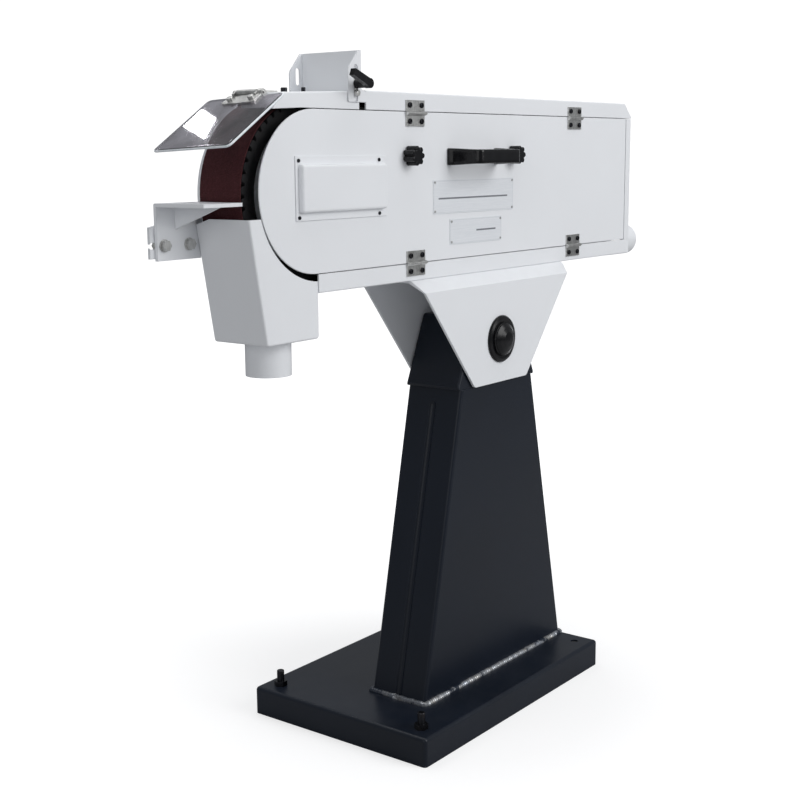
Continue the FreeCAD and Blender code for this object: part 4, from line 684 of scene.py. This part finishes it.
def weld_bead(settings):
    """Bead round the column's foot.

    A tube follows a rounded rectangle. Its radius is the bead's, times one plus a scallop that repeats
    at the ripple pitch and leans with the angle round the tube, plus three slow waves of the length.
    """
    low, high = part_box("foot_weld")
    leg = 6.0 * MM
    half_x = (high.x - low.x) / 2 - leg
    half_y = (high.y - low.y) / 2 - leg
    outline = rounded_rectangle(half_x, half_y, 1.5 * MM, 330, 5)
    normal = outline_normals(outline)
    step = np.linalg.norm(np.roll(outline, -1, axis=0) - outline, axis=1)
    length = (np.cumsum(step) - step)[:, None]
    total = step.sum()
    around = np.linspace(0.0, 2 * math.pi, 20, endpoint=False)[None, :]
    wander = 0.5 * np.sin(2 * math.pi * 23 * length / total) \
        + 0.5 * np.sin(2 * math.pi * 61 * length / total + 1.0)
    ripples = round(total / settings.pitch)
    phase = ripples * length / total + 0.16 * np.cos(2 * around) + 0.25 * wander
    scallop = np.abs(np.sin(math.pi * phase)) ** 0.7 - 0.6
    radius = settings.radius * (1.0 + settings.depth * (scallop + 0.7 * wander))
    out = 0.3 * MM + radius * np.cos(around)
    rise = 0.3 * MM + radius * np.sin(around)
    middle = (low + high) / 2
    flat = outline[:, None, :] + normal[:, None, :] * out[..., None]
    points = np.stack([middle.x + flat[..., 0], middle.y + flat[..., 1], low.z + rise], axis=-1)
    return make_piece("weld_bead", points, True)


def round_two_wheels(first, first_radius, second, second_radius, arc_points, run_points):
    """Tight loop round two circles: points and outward normals.

    The normal's angle runs evenly over each circle's arc, between the two directions at which both
    circles touch one straight line; along the straight runs it stays at that direction.
    """
    gap = np.subtract(second, first)
    heading = math.atan2(gap[1], gap[0])
    lean = math.acos((first_radius - second_radius) / np.hypot(*gap))
    near_side = np.linspace(heading + lean, heading + 2 * math.pi - lean, arc_points)
    far_side = np.linspace(heading - lean, heading + lean, arc_points)
    near = np.array(first) + first_radius * np.stack([np.cos(near_side), np.sin(near_side)], axis=1)
    far = np.array(second) + second_radius * np.stack([np.cos(far_side), np.sin(far_side)], axis=1)
    share = np.linspace(0.0, 1.0, run_points + 2)[1:-1, None]
    back = near[-1] + share * (far[0] - near[-1])
    forth = far[-1] + share * (near[0] - far[-1])
    angle = np.concatenate([near_side, np.full(run_points, near_side[-1]), far_side,
                            np.full(run_points, far_side[-1])])
    return np.concatenate([near, back, far, forth]), np.stack([np.cos(angle), np.sin(angle)], axis=1)


def abrasive_belt(settings):
    """Endless belt over the contact wheel and the drive drum.

    A flat section with round edges is carried along the loop. Its outer face rises by the splice's
    height inside a slanting band, with a smooth step at both sides of the band.
    """
    low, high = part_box("abrasive_belt")
    wheel = joint_place("wheel_spin")
    drum = joint_place("drive_spin")
    wheel_radius = wheel[0] - low.x - settings.thick / 2
    drum_radius = high.x - drum[0] - settings.thick / 2
    path, normal = round_two_wheels((wheel[0], wheel[2]), wheel_radius,
                                    (drum[0], drum[2]), drum_radius, 200, 130)
    section = rounded_rectangle((high.y - low.y) / 2, settings.thick / 2, 0.6 * MM, 22, 4)
    step = np.linalg.norm(np.roll(path, -1, axis=0) - path, axis=1)
    length = (np.cumsum(step) - step)[:, None]
    across = section[None, :, 0]
    height = np.repeat(section[None, :, 1], len(path), axis=0)
    band = length - 0.8 * across - 0.62 * step.sum()
    half = settings.splice / 2
    raised = step_up(band, -half - 2.0 * MM, -half) - step_up(band, half, half + 2.0 * MM)
    height = height + settings.splice_rise * raised * (height > 0.0)
    flat = path[:, None, :] + normal[:, None, :] * height[..., None]
    along_y = (low.y + high.y) / 2 + np.repeat(across, len(path), axis=0)
    points = np.stack([flat[..., 0], along_y, flat[..., 1]], axis=-1)
    return make_piece("abrasive_belt_cloth", points, True)


def wheel_tread(settings):
    """Notched rubber tyre.

    A ring section with round corners is turned about the wheel's axis. Where the angle, less a slant
    in proportion to the distance across, falls inside a notch, the outer radius drops by the notch's
    depth, with a smooth step at both sides.
    """
    low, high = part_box("contact_wheel_tyre")
    rim_low, rim_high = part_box("contact_wheel_rim")
    wheel = joint_place("wheel_spin")
    outer = (high.x - low.x) / 2
    inner = (rim_high.x - rim_low.x) / 2
    middle_y = (low.y + high.y) / 2
    section = rounded_rectangle((high.y - low.y) / 2, (outer - inner) / 2, 1.2 * MM, 20, 4)
    angle = np.linspace(0.0, 2 * math.pi, settings.notches * 18, endpoint=False)[:, None]
    across = section[None, :, 0]
    radius = (outer + inner) / 2 + section[None, :, 1]
    turn = angle - math.tan(settings.notch_slant) * across / outer
    repeat = (turn * settings.notches / (2 * math.pi) + 0.5) % 1.0 - 0.5
    distance = np.abs(repeat) * 2 * math.pi * outer / settings.notches
    cut = 1.0 - step_up(distance, settings.notch_width / 2 - 0.7 * MM, settings.notch_width / 2 + 0.7 * MM)
    share = (radius - inner) / (outer - inner)
    radius = radius - settings.notch_depth * cut * np.clip(share * 2.0 - 1.0, 0.0, 1.0)
    points = np.stack([wheel[0] + radius * np.cos(angle), middle_y + across + 0.0 * angle,
                       wheel[2] + radius * np.sin(angle)], axis=-1)
    return make_piece("wheel_tread", points, True)


def shield_turn(settings):
    """Turn of the hung sheet: rolled, faced forward, then lowered by its slope."""
    return Matrix.Rotation(-settings.slope, 3, "Y") @ Matrix.Rotation(math.pi, 3, "Z") \
        @ Matrix.Rotation(settings.roll, 3, "X")


def clear_shield(settings):
    """Clear sheet with round corners and a rounded rim.

    Rings shrink from the outline to the middle on both faces; the rim between them is a half circle
    of the sheet's thickness carried round the outline.
    """
    half = settings.thick / 2
    outline = rounded_rectangle(settings.length / 2 - half, settings.width / 2 - half,
                                settings.corner - half, 24, 10)
    normal = outline_normals(outline)
    inward = np.linspace(0.04, 1.0, 12)[:-1]
    turn = np.linspace(math.pi / 2, -math.pi / 2, 9)
    upper = [np.column_stack([share * outline, np.full(len(outline), half)]) for share in inward]
    rim = [np.column_stack([outline + half * math.cos(a) * normal, np.full(len(outline), half * math.sin(a))])
           for a in turn]
    lower = [ring * (1.0, 1.0, -1.0) for ring in reversed(upper)]
    points = np.stack(upper + rim + lower)
    points = points + (settings.start + settings.length / 2, 0.0, -settings.drop)
    piece = make_piece("clear_shield", points, False)
    pin = Vector(joint_place("shield_tilt"))
    sheet = Vector((0.0, 0.0, -settings.drop))
    sheet_turn = Matrix.Translation(sheet) @ Matrix.Rotation(settings.roll, 4, "X") \
        @ Matrix.Translation(-sheet)
    lowered = Matrix.Rotation(-settings.slope, 4, "Y") @ Matrix.Rotation(math.pi, 4, "Z")
    piece.data.transform(Matrix.Translation(pin) @ lowered @ sheet_turn)
    first_rim = len(inward) * len(outline)
    last_rim = first_rim + (len(turn) - 1) * len(outline)
    return piece, first_rim, last_rim


def rounded_path(corners, radius, run_points, bend_points):
    """Open path along straight runs whose inner corners are quadratic curves between two cut points."""
    corners = np.array(corners)
    parts = []
    start = corners[0]
    for before, corner, after in zip(corners, corners[1:], corners[2:]):
        into = corner + radius * (before - corner) / np.linalg.norm(before - corner)
        out = corner + radius * (after - corner) / np.linalg.norm(after - corner)
        t = np.linspace(0.0, 1.0, bend_points)[:, None]
        parts.append(np.linspace(start, into, run_points, endpoint=False))
        parts.append((1 - t) ** 2 * into + 2 * t * (1 - t) * corner + t * t * out)
        start = out
    parts.append(np.linspace(start, corners[-1], run_points + 1)[1:])
    return np.concatenate(parts)


def door_handle(settings):
    """Moulded bridge handle.

    A rectangle with round corners is carried along two raked legs and a bar; it swells towards the
    door, where each leg spreads into a foot.
    """
    low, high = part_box("door_handle")
    half = settings.thick / 2
    bar_y = low.y + half
    ends = (low.x + 8.0 * MM, high.x - 8.0 * MM)
    tops = (ends[0] + settings.rake - half + 1.0 * MM, ends[1] - settings.rake + half - 1.0 * MM)
    corners = [(ends[0], high.y), (tops[0], bar_y), (tops[1], bar_y), (ends[1], high.y)]
    path = rounded_path(corners, settings.bend, 16, 12)
    along = np.gradient(path, axis=0)
    along /= np.linalg.norm(along, axis=1, keepdims=True)
    side = np.stack([along[:, 1], -along[:, 0]], axis=1)
    section = rounded_rectangle(half, (high.z - low.z) / 2, 2.6 * MM, 5, 6)
    depth = (high.y - path[:, 1, None]) / (high.y - low.y)
    taper = 1.0 + (settings.bar_share - 1.0) * step_up(depth, 0.0, 0.9)
    swell = 1.0 + 0.45 * np.exp(-((high.y - path[:, 1]) / (5.0 * MM)) ** 2)
    flat = path[:, None, :] + side[:, None, :] * (swell[:, None] * section[None, :, 0])[..., None]
    height = (low.z + high.z) / 2 + taper * section[None, :, 1]
    points = np.concatenate([flat, height[..., None]], axis=-1)
    points[..., 1] = np.minimum(points[..., 1], high.y)
    return make_piece("bridge_handle", points, False)


# ---------------------------------------------------------------- stage


def plain_stage(settings):
    """Pale floor, soft lights and the camera."""
    look = Finish("pale_floor")
    tone = look.mix(look.noise(look.place, 0.6, 2.0), (0.4, 0.4, 0.405, 1.0), (0.44, 0.44, 0.445, 1.0))
    reach_out = look.add("ShaderNodeVectorMath", {0: look.place}, operation="LENGTH").outputs["Value"]
    seen_ray = look.add("ShaderNodeLightPath").outputs["Is Camera Ray"]
    glow = look.sum("MULTIPLY", look.spread(reach_out, 0.3, 1.4, 0.62, 1.0), seen_ray)
    look.set(Base_Color=tone, Roughness=0.85, Emission_Color=(1.0, 1.0, 1.0, 1.0), Emission_Strength=glow)
    mesh = bpy.data.meshes.new("floor")
    mesh.from_pydata([(-FLOOR_REACH, -FLOOR_REACH, 0.0), (FLOOR_REACH, -FLOOR_REACH, 0.0),
                      (FLOOR_REACH, FLOOR_REACH, 0.0), (-FLOOR_REACH, FLOOR_REACH, 0.0)], [], [(0, 1, 2, 3)])
    mesh.materials.append(look.material)
    floor = bpy.data.objects.new("floor", mesh)
    bpy.context.scene.collection.objects.link(floor)

    world = bpy.data.worlds.new("studio")
    world.use_nodes = True
    air = Tree(world.node_tree)
    seen = air.add("ShaderNodeBackground", {"Color": (1.0, 1.0, 1.0, 1.0), "Strength": 1.1})
    lit = air.add("ShaderNodeBackground", {"Color": (0.93, 0.96, 1.0, 1.0), "Strength": 0.32})
    ray = air.add("ShaderNodeLightPath").outputs["Is Camera Ray"]
    both = air.add("ShaderNodeMixShader", {0: ray, 1: lit.outputs[0], 2: seen.outputs[0]})
    air.put(world.node_tree.nodes["World Output"], "Surface", both.outputs[0])
    bpy.context.scene.world = world
    bpy.context.scene.view_settings.view_transform = "Standard"

    add_light("key_light", (0.9, -3.4, 2.3), (0.0, 0.0, 0.75), 2.6, settings.key)
    add_light("fill_light", (-3.4, -0.8, 1.6), (0.0, 0.0, 0.6), 2.0, settings.fill)
    add_light("top_light", (0.0, 0.4, 3.4), (0.0, 0.0, 0.5), 3.0, settings.top)
    on_sheet = Vector(settings.glint_place)
    seen_along = (on_sheet - Vector(settings.place)).normalized()
    away = seen_along.reflect(shield_turn(bpy.context.scene.grinder_shield) @ Vector((0.0, 0.0, 1.0)))
    add_light("glint_light", on_sheet + settings.glint_reach * away, on_sheet, GLINT_SIZE, settings.glint)

    heading = Vector((-math.sin(settings.azimuth) * math.cos(settings.pitch),
                      math.cos(settings.azimuth) * math.cos(settings.pitch), -math.sin(settings.pitch)))
    right = Vector((math.cos(settings.azimuth), math.sin(settings.azimuth), 0.0))
    up = right.cross(heading)
    turned_right = right * math.cos(settings.roll) + up * math.sin(settings.roll)
    turned_up = up * math.cos(settings.roll) - right * math.sin(settings.roll)
    axes = Matrix((turned_right, turned_up, -heading)).transposed().to_4x4()
    camera = bpy.data.objects.new("camera", bpy.data.cameras.new("camera"))
    camera.data.lens = settings.lens
    camera.data.sensor_width = SENSOR_WIDTH
    camera.matrix_world = Matrix.Translation(settings.place) @ axes
    bpy.context.scene.collection.objects.link(camera)
    bpy.context.scene.camera = camera


def add_light(name, place, target, size, power):
    """Square area light aimed at a point."""
    lamp = bpy.data.lights.new(name, "AREA")
    lamp.shape = "SQUARE"
    lamp.size = size
    lamp.energy = power
    light = bpy.data.objects.new(name, lamp)
    light.location = place
    light.rotation_euler = (Vector(place) - Vector(target)).to_track_quat("Z", "Y").to_euler()
    bpy.context.scene.collection.objects.link(light)


# ---------------------------------------------------------------- operators


class GRINDER_OT_finishes(bpy.types.Operator):
    """Give every CAD node its paint, metal, rubber or plastic"""

    bl_idname = "grinder.finishes"
    bl_label = "Finish the parts"

    def execute(self, context):
        finishes = all_finishes(context.scene.grinder_finish)
        for slot, material in finishes.items():
            context.scene["finish_of_" + slot] = material.name
        for part in frame["record"]["subparts"]:
            slots = frame["nodes"][part["node"]].material_slots
            slots[0].material = finishes[part["material_slot"]]
        return {"FINISHED"}


class GRINDER_OT_weld(bpy.types.Operator):
    """Lay the rippled weld bead round the column's foot"""

    bl_idname = "grinder.weld"
    bl_label = "Weld the foot"

    def execute(self, context):
        finish_piece(weld_bead(context.scene.grinder_weld), "weld_steel", "stand", "foot_weld")
        return {"FINISHED"}


class GRINDER_OT_belt(bpy.types.Operator):
    """Stretch the abrasive belt over the wheel and the drum"""

    bl_idname = "grinder.belt"
    bl_label = "Fit the belt"

    def execute(self, context):
        finish_piece(abrasive_belt(context.scene.grinder_belt), "abrasive", "head", "abrasive_belt")
        return {"FINISHED"}


class GRINDER_OT_tread(bpy.types.Operator):
    """Mould the notched tyre on the contact wheel"""

    bl_idname = "grinder.tread"
    bl_label = "Mould the tread"

    def execute(self, context):
        finish_piece(wheel_tread(context.scene.grinder_belt), "tread_rubber", "contact_wheel",
                     "contact_wheel_tyre")
        return {"FINISHED"}


class GRINDER_OT_shield(bpy.types.Operator):
    """Hang the clear eye shield"""

    bl_idname = "grinder.shield"
    bl_label = "Hang the shield"

    def execute(self, context):
        piece, first_rim, last_rim = clear_shield(context.scene.grinder_shield)
        finish_piece(piece, "clear_sheet", "shield", "eye_shield")
        piece.data.materials.append(polished_edge("polished_sheet_edge"))
        lowest = np.empty(len(piece.data.loops), np.int32)
        piece.data.loops.foreach_get("vertex_index", lowest)
        starts = np.empty(len(piece.data.polygons), np.int32)
        piece.data.polygons.foreach_get("loop_start", starts)
        first_corner = np.minimum.reduceat(lowest, starts)
        on_rim = (first_corner >= first_rim) & (first_corner < last_rim)
        piece.data.polygons.foreach_set("material_index", on_rim.astype(np.int32))
        return {"FINISHED"}


class GRINDER_OT_handle(bpy.types.Operator):
    """Mould the bridge handle on the door"""

    bl_idname = "grinder.handle"
    bl_label = "Mould the handle"

    def execute(self, context):
        finish_piece(door_handle(context.scene.grinder_handle), "black_plastic", "door", "door_handle")
        return {"FINISHED"}


class GRINDER_OT_stage(bpy.types.Operator):
    """Set the floor, the lights and the camera"""

    bl_idname = "grinder.stage"
    bl_label = "Set the stage"

    def execute(self, context):
        plain_stage(context.scene.grinder_stage)
        return {"FINISHED"}


class GRINDER_PT_sidebar(bpy.types.Panel):
    """Lists the grinder's steps and their sizes"""

    bl_idname = "GRINDER_PT_sidebar"
    bl_label = "Belt grinder"
    bl_space_type = "VIEW_3D"
    bl_region_type = "UI"
    bl_category = "Grinder"

    def draw(self, context):
        for step, settings in STEPS:
            self.layout.operator("grinder." + step)
            group = getattr(context.scene, "grinder_" + settings)
            for name in group.__annotations__:
                self.layout.prop(group, name)


SETTINGS = {
    "finish": FinishSettings,
    "weld": WeldSettings,
    "belt": BeltSettings,
    "shield": ShieldSettings,
    "handle": HandleSettings,
    "stage": StageSettings,
}
STEPS = (("finishes", "finish"), ("weld", "weld"), ("belt", "belt"), ("tread", "belt"), ("shield", "shield"),
         ("handle", "handle"), ("stage", "stage"))
CLASSES = (*SETTINGS.values(), GRINDER_OT_finishes, GRINDER_OT_weld, GRINDER_OT_belt, GRINDER_OT_tread,
           GRINDER_OT_shield, GRINDER_OT_handle, GRINDER_OT_stage, GRINDER_PT_sidebar)


def register():
    """Register the classes and hang the settings on the scene."""
    for part in CLASSES:
        bpy.utils.register_class(part)
    for name, group in SETTINGS.items():
        setattr(bpy.types.Scene, "grinder_" + name, bpy.props.PointerProperty(type=group))


def unregister():
    """Undo register."""
    for name in SETTINGS:
        delattr(bpy.types.Scene, "grinder_" + name)
    for part in reversed(CLASSES):
        bpy.utils.unregister_class(part)


def corners(box):
    """A box's two corners as plain lists."""
    return [list(corner) for corner in box]


def main():
    """Register the add-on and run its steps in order."""
    register()
    for step, _ in STEPS:
        getattr(bpy.ops.grinder, step)()


if __name__ == "__main__":
    main()
